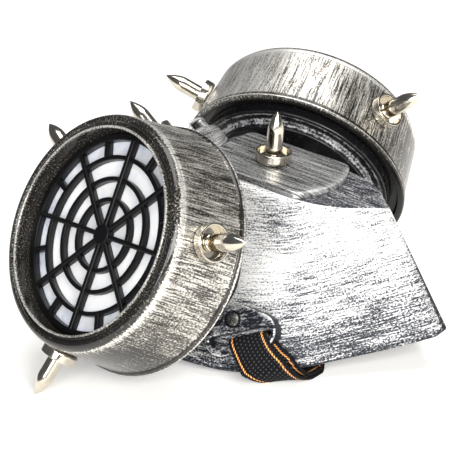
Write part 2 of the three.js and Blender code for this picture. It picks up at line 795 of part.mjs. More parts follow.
function strap() {
  const half = [
    ...strapInnerFloor.map(floorRow),
    ...strapInnerWall.map(wallRow),
    ...strapLoop.map(loopRow),
    ...strapOuterWall.map(wallRow),
    ...strapOuterFloor.map(floorRow),
    ...strapArchAngles.map(archRow),
  ];
  const opposite = half.slice(0, -1).reverse().map(({ point, across }) => ({
    point: mirrored(point),
    across: mirrored(across),
  }));
  const whole = band([...half, ...opposite], strapWidth, strapThickness);
  const [end, next] = strapInnerFloor;
  const seamUp = next.up / 2 + clearance;
  const seamRows = [{ ...end, up: seamUp }, { ...end, inwards: end.inwards - 2, up: seamUp }];
  const seam = band(seamRows.map(floorRow), strapWidth - 2, strapThickness);
  const otherSeam = solidOf(geometryOf(seam).applyMatrix4(fromLeft(sides.right)));
  return geometryOf(join([whole, seam, otherSeam]));
}

// Assembly

const mask = new THREE.Group();
addPiece(mask, 'body_shell', bodyShell(), 'silveredBody');
addPiece(mask, 'nose_tongue', noseTongue(), 'darkSilvered');
addPiece(mask, 'front_valve', frontValve(), 'silveredBlack');
addSpike(mask, 'nose', crownFrame(tongueSpikeNose, clearance + tongueThickness));
const valveTop = new THREE.Matrix4().makeTranslation(0, 0, valveFaceHeight + valveBossHeight);
addSpike(mask, 'chin', valveFrame().multiply(valveTop));

for (const [name, side] of Object.entries(sides)) {
  const drum = new THREE.Group();
  drum.applyMatrix4(canisterFrame(side));
  addPiece(drum, `canister_${name}`, canister(), 'silveredBlack');
  addPiece(drum, `base_plate_${name}`, basePlate(side), 'blackPlastic');
  const grilleAt = -grilleRecess - grilleDepth / 2;
  addPiece(drum, `grille_${name}`, grille(), 'blackPlastic').position.z = grilleAt;
  const filterAt = -grilleRecess - grilleDepth - clearance - filterThickness / 2;
  addPiece(drum, `filter_${name}`, filterDisc(), 'filterCloth').position.z = filterAt;
  const angles = side === sides.left ? rimSpikeAnglesLeft : rimSpikeAnglesRight;
  angles.forEach((angle, k) => {
    addSpike(drum, `${name}_${k + 1}`, rimSeat(angle, side));
  });
  mask.add(drum);
  addPiece(mask, `ear_tab_${name}`, earTab(side), 'blackPlastic');
  addPiece(mask, `ear_screw_${name}`, earScrew(side), 'darkSilvered');
}
mask.applyMatrix4(rest);

const part = new THREE.Group();
part.add(mask);
addPiece(part, 'strap', strap(), 'elastic');
part.updateMatrixWorld(true);
const box = new THREE.Box3().setFromObject(part, true);
part.position.set(-(box.min.x + box.max.x) / 2, -(box.min.y + box.max.y) / 2, -box.min.z);
part.updateMatrixWorld(true);
export default part;
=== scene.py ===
import json
import math

import bmesh
import bpy
import numpy as np
from mathutils import Matrix, Vector
from mathutils.bvhtree import BVHTree

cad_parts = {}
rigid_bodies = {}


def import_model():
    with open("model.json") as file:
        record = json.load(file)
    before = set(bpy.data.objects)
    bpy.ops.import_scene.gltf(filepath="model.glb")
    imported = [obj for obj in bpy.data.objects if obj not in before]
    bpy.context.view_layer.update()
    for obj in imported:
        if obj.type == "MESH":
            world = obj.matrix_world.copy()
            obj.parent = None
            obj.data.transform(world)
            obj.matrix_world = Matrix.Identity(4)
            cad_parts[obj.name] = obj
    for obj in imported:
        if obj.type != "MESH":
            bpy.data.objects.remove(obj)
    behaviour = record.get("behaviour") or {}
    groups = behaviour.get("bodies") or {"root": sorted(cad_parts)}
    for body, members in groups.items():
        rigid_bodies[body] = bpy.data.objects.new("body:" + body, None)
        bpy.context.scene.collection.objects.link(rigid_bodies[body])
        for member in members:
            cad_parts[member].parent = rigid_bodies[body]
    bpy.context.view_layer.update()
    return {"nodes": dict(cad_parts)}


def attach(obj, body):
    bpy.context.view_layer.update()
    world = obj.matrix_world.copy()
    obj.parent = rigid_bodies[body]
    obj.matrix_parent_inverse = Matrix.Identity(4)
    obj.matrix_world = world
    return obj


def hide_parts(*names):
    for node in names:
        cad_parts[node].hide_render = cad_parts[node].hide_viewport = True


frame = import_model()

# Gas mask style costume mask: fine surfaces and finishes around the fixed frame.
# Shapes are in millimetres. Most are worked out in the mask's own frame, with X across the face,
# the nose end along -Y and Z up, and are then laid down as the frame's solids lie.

millimetre = 0.001
mergeDistance = 2e-6
leastEdge = 1e-7
mirrorX = np.diag([-1.0, 1.0, 1.0, 1.0])
sides = {"left": -1, "right": 1}
print("frame loaded:", len(frame["nodes"]), "nodes")


# Tables, vectors and frames

def rowsOf(names, *rows):
    # One dictionary with these names for each row of values
    return [dict(zip(names.split(), row)) for row in rows]


def unit(v):
    return v / np.maximum(np.linalg.norm(v, axis=-1, keepdims=True), 1e-12)


def smoothStep(x, low, high):
    # 0 up to low, 1 from high on, and 3t^2 - 2t^3 between them
    t = np.clip((x - low) / (high - low), 0, 1)
    return t * t * (3 - 2 * t)


def bell(x, width):
    # exp(-(x / width)^2)
    return np.exp(-(x / width) ** 2)


def makeFrame(point, outward, along):
    # A 4 by 4 matrix at point: Z is outward, X is along made square to it, Y completes them
    z = unit(np.asarray(outward, float))
    x = unit(np.asarray(along, float) - np.dot(along, z) * z)
    matrix = np.eye(4)
    matrix[:3, :] = np.column_stack([x, np.cross(z, x), z, point])
    return matrix


def move(points, matrix):
    return points @ matrix[:3, :3].T + matrix[:3, 3]


def shift(x, y, z):
    matrix = np.eye(4)
    matrix[:3, 3] = x, y, z
    return matrix


def turn(angle, axis):
    return np.array(Matrix.Rotation(math.radians(angle), 4, axis))


def nodePoints(node):
    # The different corners of a node's mesh, in millimetres
    mesh = frame["nodes"][node].data
    co = np.zeros(len(mesh.vertices) * 3, np.float32)
    mesh.vertices.foreach_get("co", co)
    return np.unique(np.round(co.reshape(-1, 3) / millimetre, 3), axis=0).astype(float)


# Surfaces and pieces

def gridPart(points, closeColumns=True, uv=None, **values):
    # Faces between neighbours on a grid of rows and columns. uv has one more column where the grid closes.
    rows, columns = points.shape[:2]
    across = columns if closeColumns else columns - 1
    i, j = (a.ravel() for a in np.meshgrid(np.arange(rows - 1), np.arange(across), indexing="ij"))
    cornerRows = np.stack([i, i, i + 1, i + 1], 1)
    cornerColumns = np.stack([j, j + 1, j + 1, j], 1)
    if uv is None:
        uv = np.zeros((rows, across + 1, 2))
    return {
        "points": points.reshape(-1, 3),
        "faces": cornerRows * columns + cornerColumns % columns,
        "uv": uv[cornerRows, cornerColumns],
        "values": {name: np.broadcast_to(v, (rows, columns)).ravel() for name, v in values.items()},
    }


def placePart(part, matrix):
    return {**part, "points": move(part["points"], matrix)}


def makePiece(name, parts, material, nodes):
    # One mesh of all the parts, with doubles merged and its faces turned outwards, riding on the root
    starts = np.cumsum([0] + [len(p["points"]) for p in parts])
    points = np.vstack([p["points"] for p in parts]) * millimetre
    faces = np.vstack([p["faces"] + s for p, s in zip(parts, starts)])
    mesh = bpy.data.meshes.new(name)
    mesh.vertices.add(len(points))
    mesh.vertices.foreach_set("co", points.astype(np.float32).ravel())
    mesh.loops.add(faces.size)
    mesh.loops.foreach_set("vertex_index", faces.astype(np.int32).ravel())
    mesh.polygons.add(len(faces))
    mesh.polygons.foreach_set("loop_start", np.arange(0, faces.size, 4, dtype=np.int32))
    uv = np.vstack([p["uv"].reshape(-1, 2) for p in parts])
    mesh.uv_layers.new(name="stroke").data.foreach_set("uv", uv.astype(np.float32).ravel())
    for key in sorted({key for p in parts for key in p["values"]}):
        layer = mesh.attributes.new(key, "FLOAT", "POINT")
        value = [p["values"].get(key, np.zeros(len(p["points"]))) for p in parts]
        layer.data.foreach_set("value", np.concatenate(value).astype(np.float32))
    mesh.update(calc_edges=True)
    edit = bmesh.new()
    edit.from_mesh(mesh)
    bmesh.ops.remove_doubles(edit, verts=edit.verts, dist=mergeDistance)
    bmesh.ops.dissolve_degenerate(edit, edges=edit.edges, dist=leastEdge)
    bmesh.ops.recalc_face_normals(edit, faces=edit.faces)
    edit.to_mesh(mesh)
    edit.free()
    mesh.shade_smooth()
    mesh.materials.append(material)
    piece = bpy.data.objects.new(name, mesh)
    bpy.context.scene.collection.objects.link(piece)
    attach(piece, "root")
    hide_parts(*nodes)
    return piece


cornerArc = {"steps": 5, "mostShare": 0.45, "least": 0.02, "wearWidth": 0.9}


def roundedProfile(corners, step=1.2):
    # A profile of (radius, height, rounding) corners. Each corner becomes a short quadratic arc, and the
    # straight stretches get a point every step. Also gives how near each point is to an outer corner.
    at = np.array([c[:2] for c in corners], float)
    rounding = np.array([c[2] if len(c) > 2 else 0.0 for c in corners])
    line = []
    for k in range(len(at)):
        before, after = at[max(k - 1, 0)], at[min(k + 1, len(at) - 1)]
        reachIn = min(rounding[k], cornerArc["mostShare"] * np.linalg.norm(at[k] - before))
        reachOut = min(rounding[k], cornerArc["mostShare"] * np.linalg.norm(after - at[k]))
        if min(reachIn, reachOut) < cornerArc["least"]:
            arc = at[k][None]
        else:
            start = at[k] + reachIn * unit(before - at[k])
            end = at[k] + reachOut * unit(after - at[k])
            s = np.linspace(0, 1, cornerArc["steps"])[:, None]
            arc = (1 - s) ** 2 * start + 2 * s * (1 - s) * at[k] + s ** 2 * end
        if line:
            gap = np.linalg.norm(arc[0] - line[-1][-1])
            s = np.linspace(0, 1, int(gap / step) + 2)[1:-1, None]
            line.append(line[-1][-1] * (1 - s) + arc[0] * s)
        line.append(arc)
    points = np.vstack([p for p in line if len(p)])
    turning = np.zeros(len(at))
    a, b = np.diff(at, axis=0)[:-1], np.diff(at, axis=0)[1:]
    turning[1:-1] = np.sign(a[:, 0] * b[:, 1] - a[:, 1] * b[:, 0])
    area = np.sum(at[:-1, 0] * at[1:, 1] - at[1:, 0] * at[:-1, 1])
    outer = (turning * np.sign(area) > 0) & (rounding > 0)
    if not outer.any():
        return points, np.zeros(len(points))
    toCorner = np.linalg.norm(points[:, None] - at[outer][None], axis=2).min(1)
    return points, bell(toCorner, cornerArc["wearWidth"])


def lathePart(corners, count, matrix, step=1.2, **values):
    # A profile turned about Z: each row is a circle. The UV runs round at the mean radius, and along.
    profile, edge = roundedProfile(corners, step)
    angle = np.linspace(0, 2 * np.pi, count + 1)
    ring = np.stack([np.cos(angle), np.sin(angle), np.zeros(count + 1)], 1)
    points = profile[:, :1, None] * ring[None] + np.array([0, 0, 1]) * profile[:, 1:, None]
    length = np.r_[0, np.cumsum(np.linalg.norm(np.diff(profile, axis=0), axis=1))]
    radius = np.abs(profile[:, 0]).max()
    uv = np.stack(np.broadcast_arrays(length[:, None], (angle * radius)[None]), 2)
    given = {key: (v(profile)[:, None] if callable(v) else v) for key, v in values.items()}
    part = gridPart(points[:, :-1], True, uv, edge=edge[:, None], **given)
    return placePart(part, matrix)


def barPart(start, end, width, low, high, rounding, matrix, steps=12):
    # A straight bar with a bevelled rectangle as its section, from start to end on the XY plane
    way = unit(np.subtract(end, start))
    side = np.array([-way[1], way[0]])
    half = width / 2
    corners = np.array([[-half, low], [-half, high - rounding], [-half + rounding, high],
                        [half - rounding, high], [half, high - rounding], [half, low]])
    along = np.linspace(0, 1, steps)[:, None]
    centre = np.asarray(start) * (1 - along) + np.asarray(end) * along
    flat = centre[:, None, :] + corners[None, :, :1] * side
    points = np.dstack([flat, np.broadcast_to(corners[:, 1], flat.shape[:2])])
    return placePart(gridPart(points), matrix)


# Node trees

def newMaterial(name):
    material = bpy.data.materials.new(name)
    material.use_nodes = True
    tree = material.node_tree
    shader = tree.nodes["Principled BSDF"]

    def add(kind, inputs=None, **settings):
        made = tree.nodes.new("ShaderNode" + kind)
        for key, value in settings.items():
            setattr(made, key, value)
        for key, value in (inputs or {}).items():
            if isinstance(value, bpy.types.NodeSocket):
                tree.links.new(value, made.inputs[key])
            else:
                made.inputs[key].default_value = value
        return made.outputs[0]

    def feed(**inputs):
        for key, value in inputs.items():
            socket = shader.inputs[key.replace("_", " ")]
            if isinstance(value, bpy.types.NodeSocket):
                tree.links.new(value, socket)
            else:
                socket.default_value = value

    return material, add, feed


def ramp(add, value, stops):
    # A colour ramp through (place, colour) stops
    socket = add("ValToRGB", {"Fac": value})
    colors = socket.node.color_ramp.elements
    while len(colors) < len(stops):
        colors.new(0.5)
    for element, (place, color) in zip(colors, stops):
        element.position = place
        element.color = (*color, 1)
    return socket


def noise(add, vector, detail=3.0, roughness=0.6):
    return add("TexNoise", {"Vector": vector, "Scale": 1.0, "Detail": detail, "Roughness": roughness})


def scaled(add, vector, x, y, z=1.0, offset=(0, 0, 0), slant=0.0):
    # One noise cell is x by y by z in the vector's own unit: millimetres on a UV map, metres on the object
    return add("Mapping", {"Vector": vector, "Location": offset, "Rotation": (0, 0, math.radians(slant)),
                           "Scale": (1 / x, 1 / y, 1 / z)})


def sumOf(add, start, noises, extras=()):
    # start, plus each noise's distance from its middle of 0.5 times its weight, plus weighted extras
    total = start - 0.5 * sum(weight for socket, weight in noises)
    for socket, weight in (*noises, *extras):
        total = add("Math", {0: socket, 1: weight, 2: total}, operation="MULTIPLY_ADD")
    return total


def attribute(add, name):
    return add("Attribute", attribute_name=name).node.outputs["Fac"]


silverTones = {
    "plastic": (0.010, 0.010, 0.011),
    "thin": (0.13, 0.13, 0.13),
    "silver": (0.56, 0.555, 0.55),
    "thick": (0.93, 0.93, 0.94),
}
warmTones = {
    "plastic": (0.012, 0.011, 0.010),
    "thin": (0.14, 0.13, 0.115),
    "silver": (0.57, 0.55, 0.51),
    "thick": (0.94, 0.92, 0.88),
}
coolTones = {
    "plastic": (0.010, 0.012, 0.017),
    "thin": (0.115, 0.12, 0.14),
    "silver": (0.565, 0.565, 0.565),
    "thick": (0.87, 0.87, 0.87),
}


brush = {
    "slant": 0, "paintGloss": 0.36, "shine": 0.5,  # used where a finish gives no value of its own
    "stops": {"plastic": 0.36, "thin": 0.47, "silver": 0.62, "thick": 0.82}, "bare": 0.38, "painted": 0.56,
    "speck": (0.9, 0.9), "speckWeight": 1.3, "relief": 0.3, "reliefDepth": 0.0001,
}


def brushedSilver(name, look, tones=silverTones):
    # Dry-brushed silver over black plastic. Streaks follow the UV's first direction, and give way to
    # specks where the attribute calm rises. Where the sum of streaks, grain, patches and edge wear
    # passes 0.5, bare plastic turns to paint, thin at first.
    look = {**brush, **look}
    fineWeight, wideWeight, grainWeight, patchWeight = look["weights"]
    material, add, feed = newMaterial(name)
    uv = add("UVMap", uv_map="stroke")
    calm = attribute(add, "calm")
    lively = add("Math", {0: 1.0, 1: calm}, operation="SUBTRACT")

    def fading(raw, weight, share):
        # A noise's distance from its middle times weight and share
        centred = add("Math", {0: raw, 1: weight, 2: -0.5 * weight}, operation="MULTIPLY_ADD")
        return add("Math", {0: centred, 1: share}, operation="MULTIPLY")

    def streaks(cell, weight, offset):
        raw = noise(add, scaled(add, uv, *cell, offset=offset, slant=look["slant"]))
        return fading(raw, weight, lively)

    fine = streaks(look["streak"], fineWeight, (0, 0, 0))
    wide = streaks(look["broad"], wideWeight, (7, 3, 0))
    speck = noise(add, scaled(add, uv, *look["speck"], offset=(2, 4, 0)), roughness=0.7)
    speck = fading(speck, look["speckWeight"], calm)
    grain = noise(add, scaled(add, uv, *look["grain"], offset=(3, 9, 0)), 2.0, 0.7)
    patch = noise(add, scaled(add, uv, *look["patch"], offset=(1, 5, 0)), 1.0, 0.5)
    extras = [(attribute(add, "edge"), look["edgeGain"]), (attribute(add, "paint"), 1.0), (fine, 1.0),
              (wide, 1.0), (speck, 1.0)]
    field = sumOf(add, 0.5 + look["cover"], [(grain, grainWeight), (patch, patchWeight)], extras)
    mask = ramp(add, field, [(look["bare"], (0, 0, 0)), (look["painted"], (1, 1, 1))])
    gain = look["paintGloss"] - look["gloss"]
    feed(Base_Color=ramp(add, field, [(place, tones[tone]) for tone, place in look["stops"].items()]))
    feed(Metallic=add("Math", {0: mask, 1: look["metal"]}, operation="MULTIPLY"))
    feed(Roughness=add("Math", {0: mask, 1: gain, 2: look["gloss"]}, operation="MULTIPLY_ADD"))
    feed(Normal=add("Bump", {"Height": mask, "Strength": look["relief"], "Distance": look["reliefDepth"]}))
    feed(Specular_IOR_Level=look["shine"])
    return material


def objectNoise(add, cell, detail):
    # Noise on the object's own coordinates, with cells of cell metres
    return noise(add, scaled(add, add("TexCoord").node.outputs["Object"], cell, cell, cell), detail)


plastic = {"skinCell": 0.004, "fineCell": 0.0009, "fineWeight": 0.6, "skinWeight": 0.4, "clean": 0.62,
           "rubbed": 0.80, "rubbedColor": (0.45, 0.45, 0.47), "unevenGloss": 0.2, "relief": 0.25,
           "reliefDepth": 0.0004}


def plainPlastic(name, color, gloss, scuff=0.0, shine=0.5, haze=0.30):
    # Moulded black plastic with a fine uneven skin, a haze of silver, and scuffs of silver near its edges
    material, add, feed = newMaterial(name)
    skin = objectNoise(add, plastic["skinCell"], 3.0)
    fine = objectNoise(add, plastic["fineCell"], 2.0)
    noises = [(fine, plastic["fineWeight"]), (skin, plastic["skinWeight"])]
    rub = sumOf(add, haze, noises, [(attribute(add, "edge"), scuff)])
    stops = [(0.0, color), (plastic["clean"], color), (plastic["rubbed"], plastic["rubbedColor"])]
    uneven = plastic["unevenGloss"]
    feed(Base_Color=ramp(add, rub, stops), Specular_IOR_Level=shine)
    feed(Roughness=add("Math", {0: skin, 1: uneven, 2: gloss - uneven / 2}, operation="MULTIPLY_ADD"))
    bump = {"Height": skin, "Strength": plastic["relief"], "Distance": plastic["reliefDepth"]}
    feed(Normal=add("Bump", bump))
    return material


nickelLook = {"cell": 0.003, "dark": (0.58, 0.53, 0.44), "pale": (0.68, 0.64, 0.56), "gloss": 0.08,
              "dulling": 0.16}


def nickelPlate(look):
    # Polished nickel with faint marks that change its colour and gloss a little
    material, add, feed = newMaterial("polishedNickel")
    mark = objectNoise(add, look["cell"], 4.0)
    feed(Base_Color=ramp(add, mark, [(0.3, look["dark"]), (0.7, look["pale"])]), Metallic=1.0)
    feed(Roughness=add("Math", {0: mark, 1: look["dulling"], 2: look["gloss"]}, operation="MULTIPLY_ADD"))
    return material


clothLook = {"fibre": (0.5, 0.5), "blotch": (6.0, 6.0), "blotchWeight": 0.8, "fibreWeight": 0.2,
             "edgeShade": 0.35, "clean": (0.96, 0.96, 0.97), "bluish": (0.80, 0.84, 0.94),
             "grey": (0.42, 0.45, 0.55)}


def filterCloth(look):
    # White non-woven cloth: fibres, and noisy blotches that turn it bluish and then grey towards its edge
    material, add, feed = newMaterial("filterCloth")
    uv = add("UVMap", uv_map="stroke")
    fibre = noise(add, scaled(add, uv, *look["fibre"]), 6.0, 0.75)
    blotch = noise(add, scaled(add, uv, *look["blotch"], offset=(4, 2, 0)), 2.0)
    noises = [(blotch, look["blotchWeight"]), (fibre, look["fibreWeight"])]
    shade = sumOf(add, 0.30, noises, [(attribute(add, "edge"), look["edgeShade"])])
    feed(Base_Color=ramp(add, shade, [(0.36, look["clean"]), (0.56, look["bluish"]), (0.80, look["grey"])]))
    feed(Roughness=0.9)
    feed(Normal=add("Bump", {"Height": fibre, "Strength": 0.3, "Distance": 0.0003}))
    return material


yarn = {"black": (0.004, 0.004, 0.005), "grey": (0.06, 0.06, 0.064), "threadGap": (0.08, 0.014, 0.004),
        "orange": (0.80, 0.25, 0.055), "paleOrange": (1.0, 0.54, 0.20)}


def wovenElastic(settings):
    # Black elastic: ribs along the band, staggered grey dots, and two twisted orange threads
    material, add, feed = newMaterial("wovenElastic")
    uv = add("UVMap", uv_map="stroke")
    parts = add("SeparateXYZ", {0: uv}).node.outputs
    along, across = parts["X"], parts["Y"]

    def wave(value, pitch, phase=0.0):
        # 0 to 1 and back once in each pitch
        turns = add("Math", {0: value, 1: 2 * math.pi / pitch, 2: phase}, operation="MULTIPLY_ADD")
        sine = add("Math", {0: turns}, operation="SINE")
        return add("Math", {0: sine, 1: 0.5, 2: 0.5}, operation="MULTIPLY_ADD")

    rib = wave(across, settings["ribPitch"])
    skew = add("Math", {0: across, 1: settings["skew"], 2: along}, operation="MULTIPLY_ADD")
    pick = wave(skew, settings["pickPitch"])
    cell = add("Math", {0: rib, 1: pick}, operation="MULTIPLY")
    fromMiddle = add("Math", {0: across}, operation="ABSOLUTE")
    offLine = add("Math", {0: fromMiddle, 1: settings["stripePlace"]}, operation="SUBTRACT")
    offLine = add("Math", {0: offLine}, operation="ABSOLUTE")
    stripe = add("Math", {0: offLine, 1: settings["stripeWidth"] / 2}, operation="LESS_THAN")
    slanted = add("Math", {0: across, 1: settings["twistSlant"], 2: along}, operation="MULTIPLY_ADD")
    twist = wave(slanted, settings["twistPitch"])
    dots = ramp(add, cell, [(0.50, yarn["black"]), (0.90, yarn["grey"])])
    thread = ramp(add, twist, [(0.10, yarn["threadGap"]), (0.4, yarn["orange"]), (0.9, yarn["paleOrange"])])
    feed(Base_Color=add("Mix", {"Factor": stripe, 6: dots, 7: thread}, data_type="RGBA").node.outputs[2])
    feed(Roughness=0.85, Specular_IOR_Level=0.15)
    height = add("Math", {0: cell, 1: stripe}, operation="ADD")
    feed(Normal=add("Bump", {"Height": height, "Strength": 0.6, "Distance": 0.00025}))
    return material


# Camera, light and floor

cameraSettings = {"place": (-541.82, -386.90, 296.45), "aim": (-37.93, -6.01, 60.61), "roll": 3.28,
                  "lens": 134.75}


def makeCamera(settings):
    # Looks from place to aim, with the top of the view leaning to the right by roll
    data = bpy.data.cameras.new("camera")
    data.lens, data.sensor_width = settings["lens"], 36
    data.clip_start, data.clip_end = 0.05, 50
    camera = bpy.data.objects.new("camera", data)
    way = unit(np.subtract(settings["aim"], settings["place"]))
    level = unit(np.cross(way, [0, 0, 1]))
    roll = math.radians(settings["roll"])
    right = math.cos(roll) * level - math.sin(roll) * np.cross(level, way)
    place = np.multiply(settings["place"], millimetre)
    matrix = np.eye(4)
    matrix[:3, :] = np.column_stack([right, np.cross(right, way), -way, place])
    camera.matrix_world = Matrix(matrix.tolist())
    bpy.context.scene.collection.objects.link(camera)
    bpy.context.scene.camera = camera


studio = {
    "world": (0.80, 0.83, 0.90), "worldStrength": 0.14,
    "boxes": [
        {"name": "keyLight", "place": (-0.65, -1.05, 0.6), "size": (0.8, 0.6), "power": 20,
         "color": (1.0, 0.98, 0.94)},
        {"name": "sideLight", "place": (-1.1, -0.35, 0.5), "size": (0.5, 0.6), "power": 7,
         "color": (0.95, 0.97, 1.0)},
        {"name": "topLight", "place": (0.1, -0.1, 1.3), "size": (1.0, 1.0), "power": 15,
         "color": (1.0, 0.99, 0.97)},
    ],
    "aim": (0.0, 0.0, 0.05),
    "floorSize": 8.0, "floorColor": (0.93, 0.915, 0.88), "floorShade": 0.985, "floorCell": 0.4,
    "floorGlow": 0.32,
}


def makeStudio(settings):
    world = bpy.data.worlds.new("studio")
    bpy.context.scene.world = world
    world.use_nodes = True
    background = world.node_tree.nodes["Background"]
    background.inputs["Color"].default_value = (*settings["world"], 1)
    background.inputs["Strength"].default_value = settings["worldStrength"]
    for box in settings["boxes"]:
        data = bpy.data.lights.new(box["name"], "AREA")
        data.shape = "RECTANGLE"
        data.size, data.size_y = box["size"]
        data.energy, data.color = box["power"], box["color"]
        light = bpy.data.objects.new(box["name"], data)
        light.location = box["place"]
        way = Vector(settings["aim"]) - Vector(box["place"])
        light.rotation_euler = way.to_track_quat("-Z", "Y").to_euler()
        bpy.context.scene.collection.objects.link(light)
    half = settings["floorSize"] / 2
    corners = [(-half, -half, 0), (half, -half, 0), (half, half, 0), (-half, half, 0)]
    mesh = bpy.data.meshes.new("floor")
    mesh.from_pydata(corners, [], [(0, 1, 2, 3)])
    material, add, feed = newMaterial("paleFloor")
    pale = settings["floorColor"]
    shaded = tuple(settings["floorShade"] * c for c in pale)
    feed(Base_Color=ramp(add, objectNoise(add, settings["floorCell"], 2.0), [(0.3, shaded), (0.7, pale)]))
    feed(Roughness=0.9, Emission_Color=(1, 1, 1, 1), Emission_Strength=settings["floorGlow"])
    mesh.materials.append(material)
    floor = bpy.data.objects.new("floor", mesh)
    bpy.context.scene.collection.objects.link(floor)


makeCamera(cameraSettings)
makeStudio(studio)
bpy.context.scene.view_settings.view_transform = "Standard"
print("camera and studio ready")


# The canisters' own frames, and the mask's pose, from the frame's filter discs

canister = {
    "radius": 47.5, "flare": 3.4, "depth": 35.0, "wall": 2.4, "collarRadius": 41.5, "collarWall": 1.5,
    "ledgeSetBack": 14.1, "ledgeWidth": 3.4, "ledgeStep": 1.5, "lipHeight": 0.7, "web": 2.2, "recess": 3.5,
    "filterSetBack": 11.4, "lift": 29.3, "turn": 13.3, "standOff": 1.4, "nose": 7.0, "up": -17.2,
    "sides": 192,
}
body = {
    "noseReach": 114.0, "chinReach": 40.0, "rimHalfWidth": 50.5, "rimDrop": 63.0, "topHalfWidth": 20.5,
    "topHeight": 10.6, "keelTopDrop": 7.3, "crownBend": 5.5, "wall": 2.4, "lip": 1.4, "lipHeight": 3.2,
    "lipRamp": 1.6, "lipStart": 4.9, "foldRound": 1.3, "keelRound": 3.2, "chinRound": 2.6, "rimRound": 0.8,
    "spine": (14, 76),  # the crown's rows end on the midline between these places along the nose
}


def discOf(node):
    # Middle of a flat round node, and its axis away from the mask
    points = nodePoints(node)
    middle = points.mean(0)
    axis = np.linalg.svd(points - middle)[2][2]
    return middle, axis * np.sign(axis[0] * middle[0])


def canisterFrame(side):
    # Origin at the middle of the front rim, Z outwards, X down the front
    middle, axis = discOf("filter_" + side)
    return makeFrame(middle + canister["filterSetBack"] * axis, axis, (0, 0, -1.0))


def restMatrix():
    # The pitch is the angle between the right canister's axis as laid and in the mask's own frame
    lift, swing = math.radians(canister["lift"]), math.radians(canister["turn"])
    own = np.array([math.cos(lift) * math.cos(swing), math.cos(lift) * math.sin(swing), math.sin(lift)])
    middle, axis = discOf("filter_right")
    rear = np.array([body["rimHalfWidth"] + canister["standOff"], -canister["nose"], canister["up"]])
    pitch = math.degrees(math.atan2(axis[2], axis[1]) - math.atan2(own[2], own[1]))
    matrix = turn(pitch, "X")
    ownMiddle = rear + own * (canister["depth"] - canister["filterSetBack"])
    matrix[:3, 3] = middle - move(ownMiddle, matrix)
    return matrix


rest = restMatrix()
print("mask lies at", rest[:3, 3].round(2))


# Body surface: ribs from the keel at the nose to the middle of the chin, as shares of the body's sizes

ribs = rowsOf(
    "rimX rimNose rimUp foldX foldNose bulge",
    (0.09, 1.000, -0.700, 0.03, 0.763, 0.000),
    (0.30, 0.877, -0.780, 0.32, 0.708, 0.004),
    (0.58, 0.719, -0.862, 0.61, 0.655, 0.010),
    (0.75, 0.627, -0.908, 0.84, 0.579, 0.014),
    (0.89, 0.500, -0.960, 0.97, 0.491, 0.020),
    (0.97, 0.368, -0.990, 1.00, 0.372, 0.030),
    (1.00, 0.228, -1.000, 1.00, 0.254, 0.040),
    (0.99, 0.053, -1.000, 1.00, 0.150, 0.060),
    (0.92, -0.390, -0.984, 1.00, 0.070, 0.075),
    (0.72, -0.800, -0.960, 0.98, 0.026, 0.090),
    (0.40, -1.000, -0.927, 0.83, 0.000, 0.100),
)
lastRib = len(ribs) - 1
keelTopNose = ribs[0]["foldNose"] * body["noseReach"]


def column(name):
    return np.array([rib[name] for rib in ribs])


def alongNose(share):
    # Shares of the chin's reach below zero, and of the nose's above
    return np.where(share < 0, share * body["chinReach"], share * body["noseReach"])


def crownUp(nose):
    # Height of the crown: level up to its bend, then falling evenly to the keel's top
    share = np.clip((nose - body["crownBend"]) / (keelTopNose - body["crownBend"]), 0, 1)
    return body["topHeight"] - body["keelTopDrop"] * share


def smoothCurve(points, t):
    # Centripetal Catmull-Rom curve through the points, at shares t of the way
    padded = np.vstack([2 * points[0] - points[1], points, 2 * points[-1] - points[-2]])
    place = np.clip(t, 0, 1) * (len(points) - 1)
    low = np.minimum(place.astype(int), len(points) - 2)
    w = (place - low)[..., None]
    a, b, c, d = (padded[low + k] for k in range(4))
    da, db, dc = (np.sqrt(np.maximum(np.linalg.norm(q - p, axis=-1, keepdims=True), 1e-8))
                  for p, q in ((a, b), (b, c), (c, d)))
    startWay = ((b - a) / da - (c - a) / (da + db) + (c - b) / db) * db
    endWay = ((c - b) / db - (d - b) / (db + dc) + (d - c) / dc) * db
    return (b + startWay * w + (3 * c - 3 * b - 2 * startWay - endWay) * w ** 2
            + (2 * b - 2 * c + startWay + endWay) * w ** 3)


rimPoints = np.column_stack([column("rimX") * body["rimHalfWidth"], -alongNose(column("rimNose")),
                             column("rimUp") * body["rimDrop"]])
foldPoints = np.column_stack([column("foldX") * body["topHalfWidth"], -alongNose(column("foldNose")),
                              crownUp(alongNose(column("foldNose")))])


def sidePoint(rib, share):
    # Right side surface: straight from rim to fold, with a parabolic bulge outwards
    rib, share = np.broadcast_arrays(np.asarray(rib, float), np.asarray(share, float))
    t = rib / lastRib
    rim, fold = smoothCurve(rimPoints, t), smoothCurve(foldPoints, t)
    rise = fold - rim
    way = smoothCurve(rimPoints, t + 1e-4) - smoothCurve(rimPoints, t - 1e-4)
    bulge = np.interp(rib, np.arange(lastRib + 1), column("bulge")) * 4 * share * (1 - share)
    length = np.linalg.norm(rise, axis=-1)
    return rim + rise * share[..., None] + unit(np.cross(rise, way)) * (bulge * length)[..., None]


def sideFrame(rib, share):
    # The frame on the left side surface, X along the rim towards the nose, Y up the side, Z out
    step = 0.02
    flip = np.array([-1, 1, 1])
    noseward = (sidePoint(rib - step, share) - sidePoint(rib + step, share)) * flip
    upward = (sidePoint(rib, share + step) - sidePoint(rib, share - step)) * flip
    return makeFrame(sidePoint(rib, share) * flip, np.cross(noseward, upward), noseward)


def distance(a, b):
    return np.linalg.norm(a - b, axis=-1, keepdims=True)


def bend(before, corner, after, steps):
    # A quadratic arc from before to after, drawn towards corner
    s = np.linspace(0, 1, steps)[:, None, None]
    return (1 - s) ** 2 * before + 2 * s * (1 - s) * corner + s ** 2 * after


